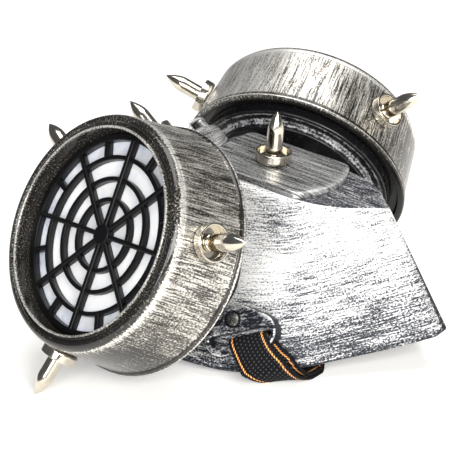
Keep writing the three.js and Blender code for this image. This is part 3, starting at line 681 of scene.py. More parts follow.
# Shares up the side, closer by the rim's lip, the ribs where the columns start and end, and the limits
# that keep corners and the inner skin from folding over
bodyMesh = {"lipShares": (0, 0.006, 0.014, 0.024, 0.036, 0.046, 0.056, 0.066, 0.08), "lowShare": 0.1,
            "highShare": 0.985, "shares": 30, "firstRib": 0.12, "lastGap": 0.35, "columns": 96,
            "facetSteps": 7, "cornerSteps": 9, "foldSteps": 6, "crownSteps": 13, "mostCorner": 0.8,
            "smoothWindow": 7, "leastMean": 0.35, "leastX": 0.25, "crownUv": (400, 40)}


def roundedCorner(point, sideward, rounding):
    # Columns from the midline over the flat facet and a quadratic arc to the side surface
    inner = point * np.array([0.0, 1, 1])
    room = np.minimum(distance(point, inner), distance(sideward, point))
    reach = np.minimum(rounding, bodyMesh["mostCorner"] * room)
    onFacet = point + unit(inner - point) * reach
    onSide = point + unit(sideward - point) * reach
    flat = inner + (onFacet - inner) * np.linspace(0, 1, bodyMesh["facetSteps"])[:-1, None, None]
    return np.concatenate([flat, bend(onFacet, point, onSide, bodyMesh["cornerSteps"])])


def bodyGrid():
    # Rows go up from the rim over the rounded fold to the middle of the crown. Columns go round from the
    # middle of the keel along the right side to the middle of the chin, and back along the left.
    share = np.linspace(bodyMesh["lowShare"], bodyMesh["highShare"], bodyMesh["shares"])
    share = np.r_[bodyMesh["lipShares"], share][None]
    rib = np.linspace(bodyMesh["firstRib"], lastRib - bodyMesh["lastGap"], bodyMesh["columns"])
    right = sidePoint(rib[:, None], share)
    keel, chin = sidePoint(0, share)[0], sidePoint(lastRib, share)[0]
    half = np.concatenate([roundedCorner(keel, right[0], body["keelRound"]), right,
                           roundedCorner(chin, right[-1], body["chinRound"])[::-1]])
    # The fold lies half a row above the last one, on the crown's slope
    last, before = half[:, -1], half[:, -2]
    rise = unit(last - before)
    fold = last + 0.5 * rise * distance(last, before)
    fold[:, 2] = crownUp(-fold[:, 1])
    middle = np.zeros(len(fold))
    spine = np.column_stack([middle, -np.clip(-fold[:, 1], *body["spine"]), middle])
    inward = (spine - fold) * [1, 1, 0]
    reach = np.minimum(body["foldRound"], 0.5 * np.linalg.norm(inward, axis=1, keepdims=True))
    onCrown = fold + unit(inward) * reach
    onCrown[:, 2] = crownUp(-onCrown[:, 1])
    onSide = fold - rise * np.minimum(body["foldRound"], distance(fold, last))
    arc = bend(onSide, fold, onCrown, bodyMesh["foldSteps"])
    q = np.linspace(0, 1, bodyMesh["crownSteps"])[1:, None, None]
    crown = onCrown * (1 - q) + spine * q
    crown[..., 2] = crownUp(-crown[..., 1])
    rows = np.concatenate([half.transpose(1, 0, 2), arc, crown])
    left = rows[:, -2:0:-1] * np.array([-1, 1, 1])
    return np.concatenate([rows, left], axis=1), share.size


def gridNormals(points):
    # The mean direction square to the grid at each point, columns closed round
    along = np.roll(points, -1, 1) - np.roll(points, 1, 1)
    return unit(np.cross(along, np.gradient(points, axis=0)))


def smoothed(values, width):
    # Mean over a window of width columns and width rows, columns closed round
    half = width // 2
    total = sum(np.roll(values, k, 1) for k in range(-half, half + 1)) / width
    padded = np.pad(total, ((half, half), (0, 0), (0, 0)), mode="edge")
    return sum(padded[k:k + len(values)] for k in range(width)) / width


bodyPaint = {"crown": -0.31, "rimLine": -0.20, "rimWidth": 1.6, "lowPanel": -0.15, "lowFrom": (46, 20),
             "noseFoot": -0.09, "footFrom": (24, 6), "footNose": (98, 84), "keelSide": -0.3,
             "keelFrom": (0.4, 2.2), "keelTo": (9, 5), "keelNose": 82, "inside": -0.8, "rim": -0.4,
             "cornerWear": 6, "foldWear": 0.6, "foldWidth": 1.0, "rimWear": 0.7}
panelPatches = rowsOf("noseward length height tall amount", (47, 10, -28, 10, 0.14), (50, 9, -7, 6, -0.16))


def bodyPaintOn(points, climb, isCrown):
    # The crown is painted darker. The panels are darker at the rim, towards it and round the keel's far
    # side, and paler or darker in patches: amount * exp(-(noseward / length)^2 - (height / tall)^2).
    x, noseward, height = points[..., 0], -points[..., 1], points[..., 2]
    noseFoot = smoothStep(climb, *bodyPaint["footFrom"]) * smoothStep(noseward, *bodyPaint["footNose"])
    keelSide = smoothStep(x, *bodyPaint["keelFrom"]) * smoothStep(x, *bodyPaint["keelTo"])
    panel = (bodyPaint["lowPanel"] * smoothStep(climb, *bodyPaint["lowFrom"])
             + bodyPaint["noseFoot"] * noseFoot
             + bodyPaint["keelSide"] * keelSide * (noseward > bodyPaint["keelNose"]))
    paint = np.where(isCrown, bodyPaint["crown"], panel)
    paint = paint + bodyPaint["rimLine"] * bell(climb, bodyPaint["rimWidth"])
    for p in panelPatches:
        patch = bell(noseward - p["noseward"], p["length"]) * bell(height - p["height"], p["tall"])
        paint = paint + p["amount"] * patch
    return paint


def bodyParts():
    # The outer skin is the grid plus its lip along the normals, and the inner one lies a wall's thickness
    # inwards along the normals' smoothed mean
    outer, sideRows = bodyGrid()
    rows, columns = outer.shape[:2]
    midRow, foldRow = sideRows // 2, sideRows + bodyMesh["foldSteps"] // 2
    normals = gridNormals(outer)
    normals = normals * np.sign(normals[midRow, columns // 4, 0] * outer[midRow, columns // 4, 0])
    mean = smoothed(normals, bodyMesh["smoothWindow"])
    reach = mean / np.maximum((mean ** 2).sum(-1, keepdims=True), bodyMesh["leastMean"])
    inner = outer - body["wall"] * reach
    sign = np.sign(outer[..., 0])
    inner[..., 0] = sign * np.maximum(inner[..., 0] * sign, bodyMesh["leastX"] * np.abs(outer[..., 0]))
    climb = np.r_[[np.zeros(columns)], np.cumsum(np.linalg.norm(np.diff(outer, axis=0), axis=2), axis=0)]
    ribOf = np.linspace(0, lastRib, columns // 2 + 1)
    ribOf = np.r_[ribOf, ribOf[-2:0:-1]][None]
    lip = body["lip"] * smoothStep(ribOf, body["lipStart"], body["lipStart"] + 1)
    lip = lip * (1 - smoothStep(climb, body["lipHeight"], body["lipHeight"] + body["lipRamp"]))
    toRim = (1 - climb / body["rimRound"]).clip(0, 1)
    lip = lip - body["rimRound"] * (1 - np.sqrt(1 - toRim ** 2))
    skin = outer + normals * lip[..., None]
    # The UV runs round and up the sides, and straight along and across the crown, clear of the sides
    step = np.linalg.norm(np.diff(outer[midRow], axis=0, append=outer[midRow, :1]), axis=1)
    roundWay = np.r_[0, np.cumsum(step)]
    uv = np.stack([np.broadcast_to(roundWay, (rows, columns + 1)), np.c_[climb, climb[:, :1]]], 2)
    crownUv = outer[..., [1, 0]] * [-1, 1] + bodyMesh["crownUv"]
    isCrown = np.arange(rows) >= foldRow
    uv[isCrown] = np.concatenate([crownUv, crownUv[:, :1]], 1)[isCrown]
    # Wear lies where the smoothed normals grow short, on the fold and along the rim
    edge = np.clip((1 - np.linalg.norm(mean, axis=-1)) * bodyPaint["cornerWear"], 0, 1)
    edge = edge + bodyPaint["foldWear"] * bell(climb - climb[foldRow], bodyPaint["foldWidth"])
    edge = np.maximum(edge, bodyPaint["rimWear"] * bell(climb, 0.7))
    paint = bodyPaintOn(outer, climb, isCrown[:, None])
    outerPart = gridPart(skin, True, uv, edge=edge, paint=paint)
    innerPart = gridPart(inner, True, uv, paint=bodyPaint["inside"])
    rimPart = gridPart(np.stack([inner[0], skin[0]]), True, uv[:2], paint=bodyPaint["rim"])
    return [outerPart, innerPart, rimPart], skin


# Finishes: weights are those of the streaks, the broad streaks, the grain and the patches

silverWall = brushedSilver("silverWall", {
    "cover": 0.02, "streak": (11.0, 0.62), "broad": (26, 2.4), "grain": (1.0, 0.7), "patch": (18, 22),
    "weights": (1.35, 0.75, 0.9, 0.32), "edgeGain": 0.06, "slant": 16.0, "metal": 0.75,
    "gloss": 0.14}, warmTones)
silverBody = brushedSilver("silverBody", {
    "cover": 0.17, "streak": (9.0, 0.55), "broad": (24, 2.0), "grain": (0.8, 0.65), "patch": (26, 14),
    "weights": (1.2, 0.4, 1.4, 0.35), "edgeGain": 0.05, "slant": -5.0, "metal": 0.15, "gloss": 0.34,
    "paintGloss": 0.55, "shine": 0.25}, coolTones)
silverTongue = brushedSilver("silverTongue", {
    "cover": 0.04, "streak": (14.0, 0.5), "broad": (36, 1.8), "grain": (0.8, 0.6), "patch": (40, 12),
    "weights": (1.1, 0.7, 1.0, 0.4), "edgeGain": 0.14, "metal": 0.75, "gloss": 0.2})
silverEar = brushedSilver("silverEar", {
    "cover": -0.08, "streak": (2.6, 1.0), "broad": (7, 4.0), "grain": (1.1, 0.9), "patch": (9, 7),
    "weights": (1.2, 1.2, 1.3, 1.0), "edgeGain": 0.06, "metal": 0.7, "gloss": 0.3, "shine": 0.2}, coolTones)
blackPlastic = plainPlastic("blackPlastic", color=(0.006, 0.006, 0.007), gloss=0.26, scuff=0.24, haze=0.49)
satinBlack = plainPlastic("satinBlack", color=(0.003, 0.003, 0.0035), gloss=0.34, shine=0.25)
nickel = nickelPlate(nickelLook)
cloth = filterCloth(clothLook)
print("finishes ready")

bodyShellParts, bodySkin = bodyParts()
bodyPiece = makePiece("body", [placePart(p, rest) for p in bodyShellParts], silverBody,
                      ["body_shell"])
print("body:", len(bodyPiece.data.polygons), "faces")


# The body's outer skin, for finding where other pieces meet it
skinPart = placePart(gridPart(bodySkin), rest)
skinTree = BVHTree.FromPolygons(skinPart["points"].tolist(), skinPart["faces"].tolist())


def reachBody(starts, way, limit, gap=0.1):
    # How far each start can go along way until it meets the body's skin, at most limit
    hits = [skinTree.ray_cast(Vector(p), Vector(way), limit)[3] for p in starts]
    return np.array([limit if h is None else h - gap for h in hits])


# Canisters

canisterPaint = {"face": -0.26, "faceFrom": (-2.6, -1.6), "fold": 0.22, "foldHighlightAt": -3.2, "foldWidth": 1.3,
                 "lipLine": 0.5, "lipAt": 0.5, "lipWidth": 0.55, "lipTop": -0.6, "bead": -0.30,
                 "beadFrom": (3.6, 3.0), "crest": 0.42, "crestAt": 1.1, "crestWidth": 0.4, "inside": -0.25,
                 "insideTop": 0.3, "hidden": -0.8, "collarMargin": 0.2, "calmFrom": (-3.6, -2.4),
                 "beadCalm": 0.5}


def wallRadius(setBack):
    return canister["radius"] + canister["flare"] * setBack / canister["depth"]


def canisterProfile():
    # From the web's front over the wall's inside, collar, ledge, lip, folded face, wall and rear bead to
    # the web's back, as (radius, height, rounding) with the front rim at height 0
    r, wall, depth, ledge = (canister[key] for key in ("radius", "wall", "depth", "ledgeSetBack"))
    collar, lip = canister["collarRadius"], canister["lipHeight"]
    collarOut, ledgeIn = collar + canister["collarWall"], collar - canister["ledgeWidth"]
    ledgeTop = canister["ledgeStep"] - ledge
    rear = wallRadius(depth)
    webBack = depth - canister["recess"]
    webFront = webBack - canister["web"]
    inside = [(0, -webFront), (wallRadius(webFront) - wall, -webFront, 1), (r - wall, -wall, 0.5)]
    collarRing = [(collarOut, -wall, 0.5), (collarOut, -ledge, 0.4), (ledgeIn, -ledge, 0.4),
                  (ledgeIn, ledgeTop, 0.3), (collar, ledgeTop, 0.3), (collar, lip, 0.35),
                  (collar + 1.0, lip, 0.35), (collar + 1.3, -0.9, 0.3)]
    face = [(r - 3.7, -0.8, 0.3), (r - 3.1, 0.1, 0.8), (r - 1.0, -0.3, 1.4), (r + 0.1, -2.3, 1.0),
            (r + 0.35, -3.2, 0.3)]
    outside = [(wallRadius(3.9) - 0.25, -3.9, 0.3), (wallRadius(4.6), -4.6, 0.3)]
    bead = [(rear - 0.35, 3.4 - depth, 0.4), (rear + 0.55, 2.7 - depth, 0.4),
            (rear + 0.35, 1.75 - depth, 0.25), (rear + 0.8, 1.1 - depth, 0.4), (rear + 0.4, -depth, 0.5),
            (rear - wall, -depth, 0.5)]
    back = [(wallRadius(webBack) - wall, -webBack, 1), (0, -webBack)]
    return inside + collarRing + face + outside + bead + back


def canisterPaintOn(points):
    # The front face is thinly painted, its fold carries a painted highlight band, the collar's lip is worn
    # bright, and the bead is dark with a bright crest. The inside has a few rubbed marks, raised to stand in
    # for painted reflections too, and hidden faces are bare.
    x, z = points.T
    look = canisterPaint
    fromRear, fromCollar = z + canister["depth"], x - canister["collarRadius"]
    withinCollar = fromCollar < look["collarMargin"]
    inside = withinCollar & (z > -canister["ledgeSetBack"])
    hidden = withinCollar & ~inside | ((z < -1.5) & (x < wallRadius(-z) - 1.2))
    # The fold term is a painted highlight band round the front edge
    outside = (look["face"] * smoothStep(z, *look["faceFrom"])
               + look["fold"] * bell(z - look["foldHighlightAt"], look["foldWidth"])
               + look["lipLine"] * bell(fromCollar - look["lipAt"], look["lipWidth"]) * (z > look["lipTop"])
               + look["bead"] * smoothStep(fromRear, *look["beadFrom"])
               + look["crest"] * bell(fromRear - look["crestAt"], look["crestWidth"]))
    outside = np.where(hidden, look["hidden"], outside)
    # Inside: rubbed marks, which also stand in for painted reflections on the glossy wall
    return np.where(inside & (z < look["insideTop"]), look["inside"], outside)


def canisterCalm(points):
    # No streaks on the front face, the lip and the inside, and half of them on the rear bead
    x, z = points.T
    face = smoothStep(z, *canisterPaint["calmFrom"])
    bead = canisterPaint["beadCalm"] * smoothStep(z + canister["depth"], *canisterPaint["beadFrom"])
    withinCollar = x < canister["collarRadius"] + canisterPaint["collarMargin"]
    return np.maximum(np.maximum(face, bead), withinCollar * 1.0)


def canisterParts(matrix, shades):
    # Paint, here painted light and shade, and calm change round the wall by the sum of amount * exp(-((angle
    # - at) / width)^2)
    part = lathePart(canisterProfile(), canister["sides"], matrix, paint=canisterPaintOn, calm=canisterCalm)
    angle = np.linspace(0, 360, canister["sides"], endpoint=False)
    for shade in shades:
        change = shade["amount"] * bell((angle - shade["at"] + 180) % 360 - 180, shade["width"])
        values = part["values"][shade["key"]].reshape(-1, angle.size)
        part["values"][shade["key"]] = (values + change).clip(-1, 1).ravel()
    return [part]


plate = {"gap": 0.3, "radius": 44.4, "thickness": 5.4, "rimWidth": 1.6, "rimSlope": 0.8, "groove": 0.7,
         "stepRadius": 37.0, "stepThickness": 2.4, "neckRadius": 24.5, "neckFlare": 1.5, "neckLongest": 45,
         "neckRows": 12, "sides": 160}


def basePlateParts(matrix):
    # A turned disc with a step, and a neck whose circle runs back until it meets the body, flaring by the
    # square of the way gone
    back = canister["recess"] - canister["depth"] - plate["gap"]
    stepAt = back - plate["thickness"]
    grooveAt = stepAt + plate["groove"]
    neckAt = stepAt - plate["stepThickness"]
    r, stepR, neck = plate["radius"], plate["stepRadius"], plate["neckRadius"]
    rimIn = r - plate["rimWidth"]
    profile = [
        (0, back), (r, back, 1.2), (r, stepAt, 0.9), (rimIn, stepAt, 0.4),
        (rimIn - plate["rimSlope"], grooveAt, 0.4), (stepR + 1.5, grooveAt, 0.4), (stepR, stepAt - 0.2, 0.6),
        (stepR, neckAt, 0.8), (neck, neckAt, 0.6),
    ]
    turned = lathePart(profile, plate["sides"], np.eye(4))
    angle = np.linspace(0, 2 * np.pi, plate["sides"], endpoint=False)
    ring = np.column_stack([np.cos(angle), np.sin(angle), np.zeros(plate["sides"])])
    starts = ring * neck + [0, 0, neckAt]
    reach = reachBody(move(starts, matrix), -matrix[:3, 2], plate["neckLongest"])
    share = np.linspace(0, 1, plate["neckRows"])[:, None, None]
    neckPoints = starts + share * reach[None, :, None] * np.array([0, 0, -1.0])
    neckPoints[..., :2] *= 1 + plate["neckFlare"] / neck * share ** 2
    end = neckPoints[-1:]
    closing = np.concatenate([end, np.broadcast_to(end.mean(1, keepdims=True), end.shape)])
    return [placePart(p, matrix) for p in (turned, gridPart(neckPoints), gridPart(closing))]


grille = {"front": -7.0, "depth": 3.2, "collarGap": 0.3, "rimWidth": 2.6, "rimDrop": 0.1, "ringWidth": 1.8,
          "rings": (15.3, 23.8, 32.5), "ringDrop": 0.35, "spokes": 8, "spokeWidth": 2.0, "spokeRound": 0.3,
          "overlap": 0.6, "hub": 4.2, "hubRise": 0.3, "lowRound": 0.2, "topRound": 0.35, "sides": 160}


def grilleParts(matrix):
    # Rings and hub are turned profiles. Every second spoke starts at the hub, the others at the last ring.
    rim, hub, low = canister["collarRadius"] - grille["collarGap"], grille["hub"], grille["lowRound"]
    front, back = grille["front"], grille["front"] - grille["depth"]

    def ring(outer, width, drop):
        inner, top = outer - width, front - drop
        corners = [(inner, back, low), (outer, back, low), (outer, top, grille["topRound"]),
                   (inner, top, grille["topRound"]), (inner, back, low)]
        return lathePart(corners, grille["sides"], matrix, step=5.0)

    parts = [ring(outer, grille["ringWidth"], grille["ringDrop"]) for outer in grille["rings"]]
    parts.append(ring(rim, grille["rimWidth"], grille["rimDrop"]))
    hubTop = front + grille["hubRise"]
    parts.append(lathePart([(0, back), (hub, back, low), (hub, hubTop, 0.5), (0, hubTop)], 48, matrix))
    end = rim - grille["rimWidth"] + grille["overlap"]
    for k in range(2 * grille["spokes"]):
        angle = np.pi * k / grille["spokes"]
        way = np.array([math.cos(angle), math.sin(angle)])
        start = (hub if k % 2 == 0 else grille["rings"][-1]) - grille["overlap"]
        parts.append(barPart(way * start, way * end, grille["spokeWidth"], back, front,
                             grille["spokeRound"], matrix))
    return parts


disc = {"front": -10.65, "back": -12.3, "collarGap": 0.3, "swell": 0.12, "crease": 0.06, "rows": 40,
        "columns": 128}


def filterParts(matrix):
    # A disc whose front swells by sin(x / 5) cos(y / 6.3) and creases by sin((x - y) / 3.1)
    radius = canister["collarRadius"] - disc["collarGap"]
    r = np.linspace(0, radius, disc["rows"])[:, None]
    angle = np.linspace(0, 2 * np.pi, disc["columns"], endpoint=False)[None]
    x, y = r * np.cos(angle), r * np.sin(angle)
    wave = disc["swell"] * np.sin(x / 5.0) * np.cos(y / 6.3) + disc["crease"] * np.sin((x - y) / 3.1)
    top = np.stack([x, y, disc["front"] + wave], 2)
    bottom = np.stack([x, y, np.full_like(x, disc["back"])], 2)[::-1]
    points = np.concatenate([top, bottom])
    uv = np.concatenate([points[..., :2], points[:, :1, :2]], 1) + 60
    edge = np.clip(np.linalg.norm(points[..., :2], axis=2) / radius, 0, 1) ** 6
    return [placePart(gridPart(points, True, uv, edge=edge), matrix)]


shadeNames = "key at width amount"  # angles in degrees, from straight down the front
# The paint rows are painted light and shade: darker low on the left drum, lighter high on the right drum and
# darker at its side. The calm rows fade the streaks.
wallLightAndCalm = {
    "left": rowsOf(shadeNames, ("paint", 20, 30, -0.18), ("paint", 75, 25, -0.02), ("paint", 135, 25, -0.05),
                   ("calm", 45, 38, 0.5)),
    "right": rowsOf(shadeNames, ("paint", 150, 40, 0.19), ("paint", -88, 24, -0.14), ("calm", 150, 40, 0.2)),
}
for sideName in sides:
    drumFrame = canisterFrame(sideName)
    makePiece("canister_" + sideName + "_shell", canisterParts(drumFrame, wallLightAndCalm[sideName]), silverWall,
              ["canister_" + sideName])
    makePiece("base_" + sideName, basePlateParts(drumFrame), blackPlastic,
              ["base_plate_" + sideName])
    makePiece("web_" + sideName, grilleParts(drumFrame), satinBlack, ["grille_" + sideName])
    makePiece("cloth_" + sideName, filterParts(drumFrame), cloth, ["filter_" + sideName])
print("canisters done")


# Spikes and cup washers

spike = {"radius": 3.5, "length": 20.6, "tipShare": 0.44, "tipPower": 1.8, "tipSteps": 16, "groove": 0.7,
         "grooveAt": 1.9, "grooveHalf": 0.5, "sides": 64}
washer = {"radius": 7.6, "height": 4.4, "wall": 1.0, "foot": 0.6, "sides": 72}


def spikeParts(matrix):
    # A bullet: the tip's radius falls by the share of its length to a power
    r, length, groove, half = (spike[key] for key in ("radius", "length", "grooveAt", "grooveHalf"))
    tipAt = length * (1 - spike["tipShare"])
    share = np.linspace(0.04, 0.985, spike["tipSteps"])
    tip = [(r * (1 - s ** spike["tipPower"]), tipAt + (length - tipAt) * s) for s in share]
    profile = [(0, 0), (r, 0, 0.3), (r, groove - half, 0.25), (r - spike["groove"], groove, 0.2),
               (r, groove + half, 0.25), (r, tipAt - 0.2, 0.5), *tip, (0, length)]
    return [lathePart(profile, spike["sides"], matrix)]


def washerParts(matrix):
    # A turned cup with a slanting foot
    r, h, w = washer["radius"], washer["height"], washer["wall"]
    profile = [(0, 0), (r - washer["foot"], 0, 0.3), (r, w, 0.5), (r, h, 0.25), (r - w, h, 0.25),
               (r - w, w, 0.15), (0, w)]
    return [lathePart(profile, washer["sides"], matrix)]


def seatOf(name):
    # The axis runs from the washer's middle to the spike's, and each piece starts at its lowest corner
    low, high = nodePoints("washer_" + name), nodePoints("spike_" + name)
    start, axis = low.mean(0), unit(high.mean(0) - low.mean(0))
    across = (1.0, 0, 0) if abs(axis[0]) < 0.8 else (0, 1.0, 0)
    feet = [start + axis * ((points - start) @ axis).min() for points in (low, high)]
    return [makeFrame(foot, axis, across) for foot in feet]


spikeNames = ["nose", "chin"] + [f"{side}_{k}" for side in sides for k in (1, 2, 3)]
for name in spikeNames:
    washerSeat, spikeSeat = seatOf(name)
    makePiece("cup_" + name, washerParts(washerSeat), nickel, ["washer_" + name])
    makePiece("bullet_" + name, spikeParts(spikeSeat), nickel, ["spike_" + name])
print("spikes done")


# Nose tongue

tongue = {"halfWidth": 20.0, "end": 62.0, "endCurve": 5.0, "corner": 4.5, "thickness": 2.3, "start": 0.3,
          "lift": 0.3, "foot": -0.25, "edgeRound": 0.7, "faceInset": 0.9, "spine": (12, 14), "wear": (16, 8),
          "fillRows": 9, "columns": 320}
crownSlope = math.atan2(body["keelTopDrop"], keelTopNose - body["crownBend"])
crownNormal = np.array([0, -math.sin(crownSlope), math.cos(crownSlope)])


def crownFrame(nose, height):
    point = np.array([0, -nose, float(crownUp(nose))]) + crownNormal * height
    return makeFrame(point, crownNormal, (1.0, 0, 0))


def evenly(points, count):
    # The closed outline again, as count points at even distances
    closed = np.vstack([points, points[:1]])
    length = np.r_[0, np.cumsum(np.linalg.norm(np.diff(closed, axis=0), axis=1))]
    at = np.linspace(0, length[-1], count, endpoint=False)
    return np.column_stack([np.interp(at, length, closed[:, k]) for k in range(2)])


def inset(outline, amount):
    # The closed outline moved to its left by amount, along the mean of its neighbours' directions
    way = unit(np.roll(outline, -2, 0) - np.roll(outline, 2, 0))
    return outline + amount * np.column_stack([-way[:, 1], way[:, 0]])


def quadratic(a, b, c, steps=16):
    return bend(*(np.array([point], float) for point in (a, b, c)), steps)[:, 0]


def bevelSteps(reach, steps, least=0):
    # (inset, drop) along a quarter circle, from the top of a wall to the edge of the face above it
    return [(reach * (1 - math.cos(a)), reach * (1 - math.sin(a)))
            for a in (math.pi / 2 * k / steps for k in range(least, steps + 1))]


def tongueParts():
    # An outline of straight sides and quadratic arcs, with rings up its wall and over its rounded edge,
    # and then lines to the middle
    w, start, corner = tongue["halfWidth"], tongue["start"], tongue["corner"]
    end = (tongue["end"] - body["crownBend"]) / math.cos(crownSlope)
    turnAt = end - tongue["endCurve"]
    outline = np.vstack([
        quadratic((w - corner, start), (w, start), (w, start + corner)),
        quadratic((w, turnAt - corner), (w, turnAt), (w - corner, turnAt + 1)),
        quadratic((w - corner, turnAt + 1), (0, 2 * end - turnAt - 1), (-w + corner, turnAt + 1), 40),
        quadratic((-w + corner, turnAt + 1), (-w, turnAt), (-w, turnAt - corner)),
        quadratic((-w, start + corner), (-w, start), (-w + corner, start)),
    ])
    outline = evenly(outline, tongue["columns"])
    bevel, top = tongue["edgeRound"], tongue["thickness"]
    rows = [(0.0, tongue["foot"], 0.3), (0.0, top - bevel, 0.5)]
    rows += [(d, top - drop, 1.0) for d, drop in bevelSteps(bevel, 5, 1)]
    rows.append((bevel + tongue["faceInset"], top, 0.35))
    rings = [np.column_stack([inset(outline, d), np.full(len(outline), z)]) for d, z, worn in rows]
    last, (spineFrom, spineGap) = rings[-1], tongue["spine"]
    spineY = np.clip(last[:, 1], spineFrom, end - spineGap)
    spine = np.column_stack([np.zeros(len(last)), spineY, last[:, 2]])
    fill = [last * (1 - q) + spine * q for q in np.linspace(0, 1, tongue["fillRows"])[1:]]
    points = np.stack(rings + fill)
    # The edge is worn bright towards the nose end only
    wear = np.r_[[worn for d, z, worn in rows], np.zeros(len(fill))][:, None]
    wearFrom, wearTo = tongue["wear"]
    edge = wear * smoothStep(points[..., 1], end - wearFrom, end - wearTo)
    flat = points[..., [1, 0]] + points[..., 2:]
    uv = np.concatenate([flat, flat[:, :1]], 1) + 60
    points[..., 1] *= -1
    place = rest @ crownFrame(body["crownBend"], tongue["lift"])
    return [placePart(gridPart(points, True, uv, edge=edge), place)]


makePiece("tongue", tongueParts(), silverTongue, ["nose_tongue"])
print("tongue done")


# Front valve

valve = {"nose": -14.2, "up": -2.9, "tilt": 40.0, "radius": 20.0, "drumHeight": 6.0, "collarRadius": 22.5,
         "faceHeight": 12.5, "bossRadius": 8.4, "bossHeight": 4.4, "windows": 10, "windowWidth": 7.6,
         "windowHeight": 3.2, "windowDepth": 3.5, "windowTurn": 0.12, "windowPaint": -0.5, "columns": 720,
         "skirtRows": 8}


def valveFrame():
    tilt = math.radians(valve["tilt"])
    axis = np.array([0, math.cos(tilt), math.sin(tilt)])
    return makeFrame(np.array([0, -valve["nose"], valve["up"]]), axis, (1.0, 0, 0))


def valveParts():
    # A drum: radius by height, pressed in by the windows, on a collar that reaches down to the body
    matrix = rest @ valveFrame()
    face, r, collar, boss = (valve[key] for key in ("faceHeight", "radius", "collarRadius", "bossRadius"))
    foot = face - valve["drumHeight"]
    bossTop = face + valve["bossHeight"]
    profile, edge = roundedProfile([
        (collar, foot - 0.8, 0.3), (collar - 0.8, foot, 0.5), (r, foot, 0.3), (r, face, 0.9),
        (boss + 2, face, 0.8), (boss, face + 1, 0.8), (boss, bossTop, 0.6), (0, bossTop)], step=0.3)
    angle = np.linspace(0, 2 * np.pi, valve["columns"], endpoint=False)[None]
    radius, height = profile[:, :1], profile[:, 1:]
    # How far each point is inside the nearest window, along the drum and up it
    pitch = 2 * np.pi / valve["windows"]
    phase = angle - np.pi / 2 - valve["windowTurn"] * pitch
    off = np.abs((phase / pitch + 0.5) % 1 - 0.5) * pitch * r - valve["windowWidth"] / 2
    offUp = np.abs(height - foot - valve["drumHeight"] / 2) - valve["windowHeight"] / 2
    window = smoothStep(off, 0.15, -0.15) * smoothStep(offUp, 0.2, -0.2) * (np.abs(radius - r + 0.35) < 0.65)
    radius = radius - valve["windowDepth"] * window
    points = np.stack(np.broadcast_arrays(radius * np.cos(angle), radius * np.sin(angle), height), 2)
    starts = points[0] * [0.999, 0.999, 1]
    reach = reachBody(move(starts, matrix), -matrix[:3, 2], foot + face)
    share = np.linspace(1, 0, valve["skirtRows"])[:, None, None]
    skirt = starts - share * reach[None, :, None] * np.array([0, 0, 1.0])
    points = np.concatenate([skirt, points])
    edge = np.r_[np.zeros(len(skirt)), edge][:, None]
    paint = valve["windowPaint"] * np.concatenate([np.zeros(skirt.shape[:2]), window])
    length = np.r_[0, np.cumsum(np.linalg.norm(np.diff(points[:, 0], axis=0), axis=1))]
    roundWay = np.linspace(0, 2 * np.pi * r, valve["columns"] + 1)
    uv = np.stack(np.broadcast_arrays(roundWay[None], length[:, None] + 30), 2)
    return [placePart(gridPart(points, True, uv, edge=edge, paint=paint), matrix)]


silverValve = brushedSilver("silverValve", {
    "cover": 0.09, "streak": (9.0, 0.55), "broad": (20, 2.4), "grain": (0.8, 0.6), "patch": (14, 12),
    "weights": (1.0, 0.7, 1.1, 0.6), "edgeGain": 0.3, "metal": 0.6, "gloss": 0.3})
makePiece("valve", valveParts(), silverValve, ["front_valve"])
print("valve done")


# Ears

ear = {"length": 32.0, "top": 11.0, "bottom": 8.4, "endRadius": 7.2, "topRadius": 9.0, "standOff": 5.0,
       "rib": 4.73, "share": 0.22, "turn": 18.0, "slotLength": 28.0, "slotWidth": 4.2, "slotEdge": 4.4,
       "slotFit": 0.93, "edgeRound": 0.8, "edgeSteps": 4, "faceRows": 26, "columns": 300, "screwX": -2.2,
       "screwY": 5.6, "screwRadius": 2.9, "screwHeight": 1.1, "wellDepth": 1.5, "wellShade": -0.25}
earPlace = rest @ sideFrame(ear["rib"], ear["share"]) @ turn(ear["turn"], "Z")


def arcPoints(x, y, radius, start, end, steps=40):
    angle = np.linspace(start, end, steps)
    return np.column_stack([x + radius * np.cos(angle), y + radius * np.sin(angle)])


def earOutline(count):
    # Two round ends and a round top, joined by their tangents
    endX, endY = ear["length"] / 2 - ear["endRadius"], ear["endRadius"] - ear["bottom"]
    topY = ear["top"] - ear["topRadius"]
    lean = math.acos((ear["topRadius"] - ear["endRadius"]) / math.hypot(endX, endY - topY))
    tangent = lean + math.atan2(endY - topY, endX)
    outline = np.vstack([
        arcPoints(endX, endY, ear["endRadius"], -math.pi / 2, tangent),
        arcPoints(0, topY, ear["topRadius"], tangent, math.pi - tangent),
        arcPoints(-endX, endY, ear["endRadius"], math.pi - tangent, 1.5 * math.pi),
    ])
    return evenly(outline, count)


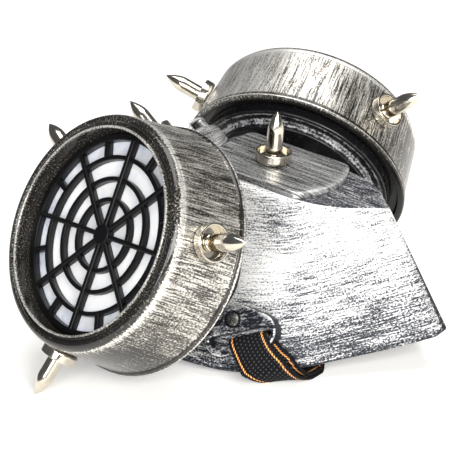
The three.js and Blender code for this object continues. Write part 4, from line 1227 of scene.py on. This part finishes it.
def earPlate():
    # Rows go from the body up the slot's wall, over its rounded edge, across the face and down the outside
    outline = earOutline(ear["columns"])
    slotY = ear["slotEdge"] + ear["slotWidth"] / 2 - ear["bottom"]
    half = (ear["slotLength"] - ear["slotWidth"]) / 2
    slotX = np.clip(outline[:, 0] * ear["slotFit"], -half, half)
    spine = np.column_stack([slotX, np.full(len(slotX), slotY)])
    slot = spine + unit(outline - spine) * ear["slotWidth"] / 2
    outward, room = unit(outline - slot), distance(outline, slot)
    bevel, top = ear["edgeRound"], ear["standOff"]
    corner = bevelSteps(bevel, ear["edgeSteps"], 1)

    def ring(flat, height):
        return np.column_stack([flat, np.broadcast_to(height, (len(flat),))])

    def foot(flat):
        reach = reachBody(move(ring(flat, top), earPlace), -earPlace[:3, 2], 2 * top, 0.2)
        return ring(flat, top - reach)

    shares = np.linspace(0, 1, ear["faceRows"])[1:-1]
    rows = [foot(slot), ring(slot, top - bevel)]
    rows += [ring(slot + outward * d, top - fall) for d, fall in corner]
    rows += [ring(slot + outward * (bevel + (room - 2 * bevel) * q), top) for q in shares]
    rows += [ring(outline - outward * d, top - fall) for d, fall in corner[::-1]]
    rows += [ring(outline, top - bevel), foot(outline)]
    points = np.stack(rows)
    fromScrew = np.hypot(points[..., 0] - ear["screwX"], points[..., 1] - ear["screwY"]) - ear["screwRadius"]
    well = smoothStep(fromScrew, 0.9, 0.3) * (points[..., 2] > top - 0.3)
    points[..., 2] -= ear["wellDepth"] * well
    uv = np.concatenate([points[..., :2], points[:, :1, :2]], 1) + 40
    # The walls of the slot and of the outside are painted dark as painted shade, for the shadow in the slot
    # and under the plate, and the outside's edge is worn bright
    rounded, nearEdge = np.ones(len(corner)), np.clip(1 - 12 * np.minimum(shares, 1 - shares), 0, 1)
    edge = np.r_[0, 0.5, rounded, nearEdge, rounded, 0.5, 0][:, None]
    # The -0.5 on the wall rows is painted shade
    paint = np.r_[-0.5, -0.5, -0.1 * rounded, 0 * shares, 0.1 * rounded, -0.5, -0.5][:, None]
    # wellShade darkens the well round the screw: painted shade in the recess
    return placePart(gridPart(points, True, uv, edge=edge, paint=paint + ear["wellShade"] * well), earPlace)


earPart = earPlate()
screwAt = earPlace @ shift(ear["screwX"], ear["screwY"], ear["standOff"] - ear["screwHeight"])
screwPart = lathePart([(0, 0), (ear["screwRadius"], 0, 0.2), (ear["screwRadius"], 0.6, 0.5),
                       (1.8, 1.35, 0.8), (0.5, 1.55, 0.4), (0, 1.55)], 48, screwAt)
screwTones = {**silverTones, "silver": (0.30, 0.27, 0.23), "thick": (0.50, 0.46, 0.40)}
# A negative edgeGain darkens the screw's rounded corners: painted shade that dulls their highlights
silverScrew = brushedSilver("silverScrew", {
    "cover": 0.02, "streak": (1.5, 1.0), "broad": (3, 3.0), "grain": (0.8, 0.8), "patch": (4, 4),
    "weights": (0.8, 0.8, 1.0, 0.5), "edgeGain": -0.2, "metal": 0.8, "gloss": 0.3}, screwTones)
for sideName, side in sides.items():
    flip = np.eye(4) if side < 0 else mirrorX
    makePiece("ear_" + sideName, [placePart(earPart, flip)], silverEar,
              ["ear_tab_" + sideName])
    makePiece("screw_" + sideName, [placePart(screwPart, flip)], silverScrew,
              ["ear_screw_" + sideName])
print("ears done")


# Strap: rows of its route on one side, as in the frame, from the sewn end round the ear's bar to the arch

strap = {"width": 17.0, "thickness": 1.3, "place": 3.6, "archHeight": 52.0, "crossRib": 3.36, "rowSteps": 10,
         "ribPitch": 1.7, "pickPitch": 1.5, "skew": 0.44, "stripePlace": 6.6, "stripeWidth": 0.7,
         "twistPitch": 1.25, "twistSlant": 1.3, "columns": 44, "flatShare": 0.94, "squaring": 0.85,
         "mostSpread": 1.06, "seamSteps": 4, "seamMargin": 2}
# Floor rows lie inwards of the rim and up from the floor, wall rows out from the body's side, and loop rows
# beside the ear's bar. Each row's across direction turns by degrees from the rim's or the ear's.
floorNames, wallNames = "inwards up turn rise", "rib share out turn"
innerFloor = rowsOf(floorNames, (13, 2.25, 0, 0), (7, 2.25, 14, 0), (2.5, 2.25, 28, 0))
innerWall = rowsOf(wallNames, (3.5, -0.006, 1.1, 0), (3.6, 0.015, 1.3, 2), (3.76, 0.045, 1.2, 6),
                   (3.96, 0.09, 1.2, 12))
barLoop = rowsOf("shift up out turn", (1.9, -7.6, 0.95, 0), (0.5, -4.2, 1.05, 0), (0, -2.7, 2, 0),
                 (0, -2.2, 3.6, 0), (0, -2.7, 5.2, 0), (0.3, -4.2, 6.05, -4), (1.2, -7.6, 6.1, -12))
outerWall = rowsOf(wallNames, (4.08, 0.085, 6.4, -14), (3.88, 0.035, 6.4, -22), (3.68, 0.0, 6.9, -25))
outerFloor = rowsOf(floorNames, (-4.4, 3.1, 16, 0.34), (-1, 1.6, 14, 0.2), (4.5, 0.65, 12, 0),
                    (9, 0.65, 6, 0), (14, 0.65, 0, 0))
seamFloor = rowsOf(floorNames, (13, 1.43, 0, 0), (11, 1.43, 0, 0))
archAngles = [14, 32, 52, 72, 90]


def turnedRow(matrix, point, angle):
    # The point placed by matrix, and the matrix's X turned by angle in its XY plane
    angle = math.radians(angle)
    return move(np.array(point), matrix), matrix[:3, :3] @ [math.cos(angle), math.sin(angle), 0]


def wallRow(row):
    return turnedRow(rest @ sideFrame(row["rib"], row["share"]), [0, 0, row["out"]], row["turn"])


def loopRow(row):
    return turnedRow(earPlace, [strap["place"] + row["shift"], row["up"], row["out"]], row["turn"])


def floorRow(row):
    rim = move(sidePoint(strap["crossRib"], 0) * [-1, 1, 1], rest)
    angle = math.radians(row["turn"])
    across = unit(np.array([math.sin(angle), -math.cos(angle), row["rise"]]))
    return np.array([rim[0] + row["inwards"], rim[1], row["up"]]), across


def archRow(angle):
    # A quarter of an ellipse from the last floor row to the middle
    start = floorRow(outerFloor[-1])[0]
    c, s = math.cos(math.radians(angle)), math.sin(math.radians(angle))
    return np.array([start[0] * c, start[1], start[2] + strap["archHeight"] * s]), np.array([0, -1.0, 0])


def bandPart(rows, width, steps):
    # A band along a smooth curve through the rows' points. Each ruling is the mean of its rows' directions
    # over one row's length, made nearly square to the way, and carries a section with rounded selvedges.
    points, across = (np.array([row[k] for row in rows], float) for k in (0, 1))
    t = np.linspace(0, 1, steps * (len(rows) - 1) + 1)
    centre = smoothCurve(points, t)
    way = unit(smoothCurve(points, t + 1e-4) - smoothCurve(points, t - 1e-4))
    at = t * (len(rows) - 1)
    low = np.minimum(at.astype(int), len(rows) - 2)
    w = (at - low)[:, None]
    ruling = unit(across[low] * (1 - w) + across[low + 1] * w)
    ruling = unit(ruling - strap["squaring"] * (ruling * way).sum(1, keepdims=True) * way)
    window = np.hanning(4 * steps + 3)[1:-1]
    window = window / window.sum()
    padded = np.pad(ruling, ((2 * steps, 2 * steps), (0, 0)), mode="edge")
    ruling = unit(np.column_stack([np.convolve(padded[:, k], window, mode="valid") for k in range(3)]))
    thick = np.cross(way, ruling)
    # A slanting ruling is longer, so that the band keeps its width
    reach = width / 2 * np.minimum(1 / np.linalg.norm(thick, axis=1), strap["mostSpread"])
    s = np.linspace(-1, 1, strap["columns"])
    toSelvedge = np.clip((np.abs(s) - strap["flatShare"]) / (1 - strap["flatShare"]), 0, 1)
    lift = 0.5 * np.sqrt(1 - toSelvedge ** 2)
    section = np.vstack([np.column_stack([s, lift]), np.column_stack([s[::-1], -lift[::-1]])[1:-1]])
    grid = (centre[:, None] + ruling[:, None] * (section[None, :, :1] * reach[:, None, None])
            + unit(thick)[:, None] * section[None, :, 1:] * strap["thickness"])
    grid[..., 2] = np.maximum(grid[..., 2], 0)
    length = np.r_[0, np.cumsum(np.linalg.norm(np.diff(centre, axis=0), axis=1))]
    side = np.r_[section[:, 0], section[0, 0]] * width / 2
    uv = np.stack(np.broadcast_arrays(length[:, None], side[None]), 2)
    caps = [np.stack([ring, np.broadcast_to(ring.mean(0), ring.shape)]) for ring in (grid[0], grid[-1])]
    return [gridPart(grid, True, uv)] + [gridPart(cap) for cap in caps], length[-1]


def strapRows():
    # One side's rows, and the same mirrored in the opposite order
    kinds = [(floorRow, innerFloor), (wallRow, innerWall), (loopRow, barLoop), (wallRow, outerWall),
             (floorRow, outerFloor), (archRow, archAngles)]
    half = [place(row) for place, table in kinds for row in table]
    flip = np.array([-1, 1, 1])
    return half + [(point * flip, across * flip) for point, across in half[-2::-1]]


strapBand, strapLength = bandPart(strapRows(), strap["width"], strap["rowSteps"])
seamRows = [floorRow(row) for row in seamFloor]
seamParts = bandPart(seamRows, strap["width"] - strap["seamMargin"], strap["seamSteps"])[0]
seams = seamParts + [placePart(p, mirrorX) for p in seamParts]
makePiece("elastic_strap", strapBand + seams, wovenElastic(strap), ["strap"])
print("strap done, mm:", round(strapLength))
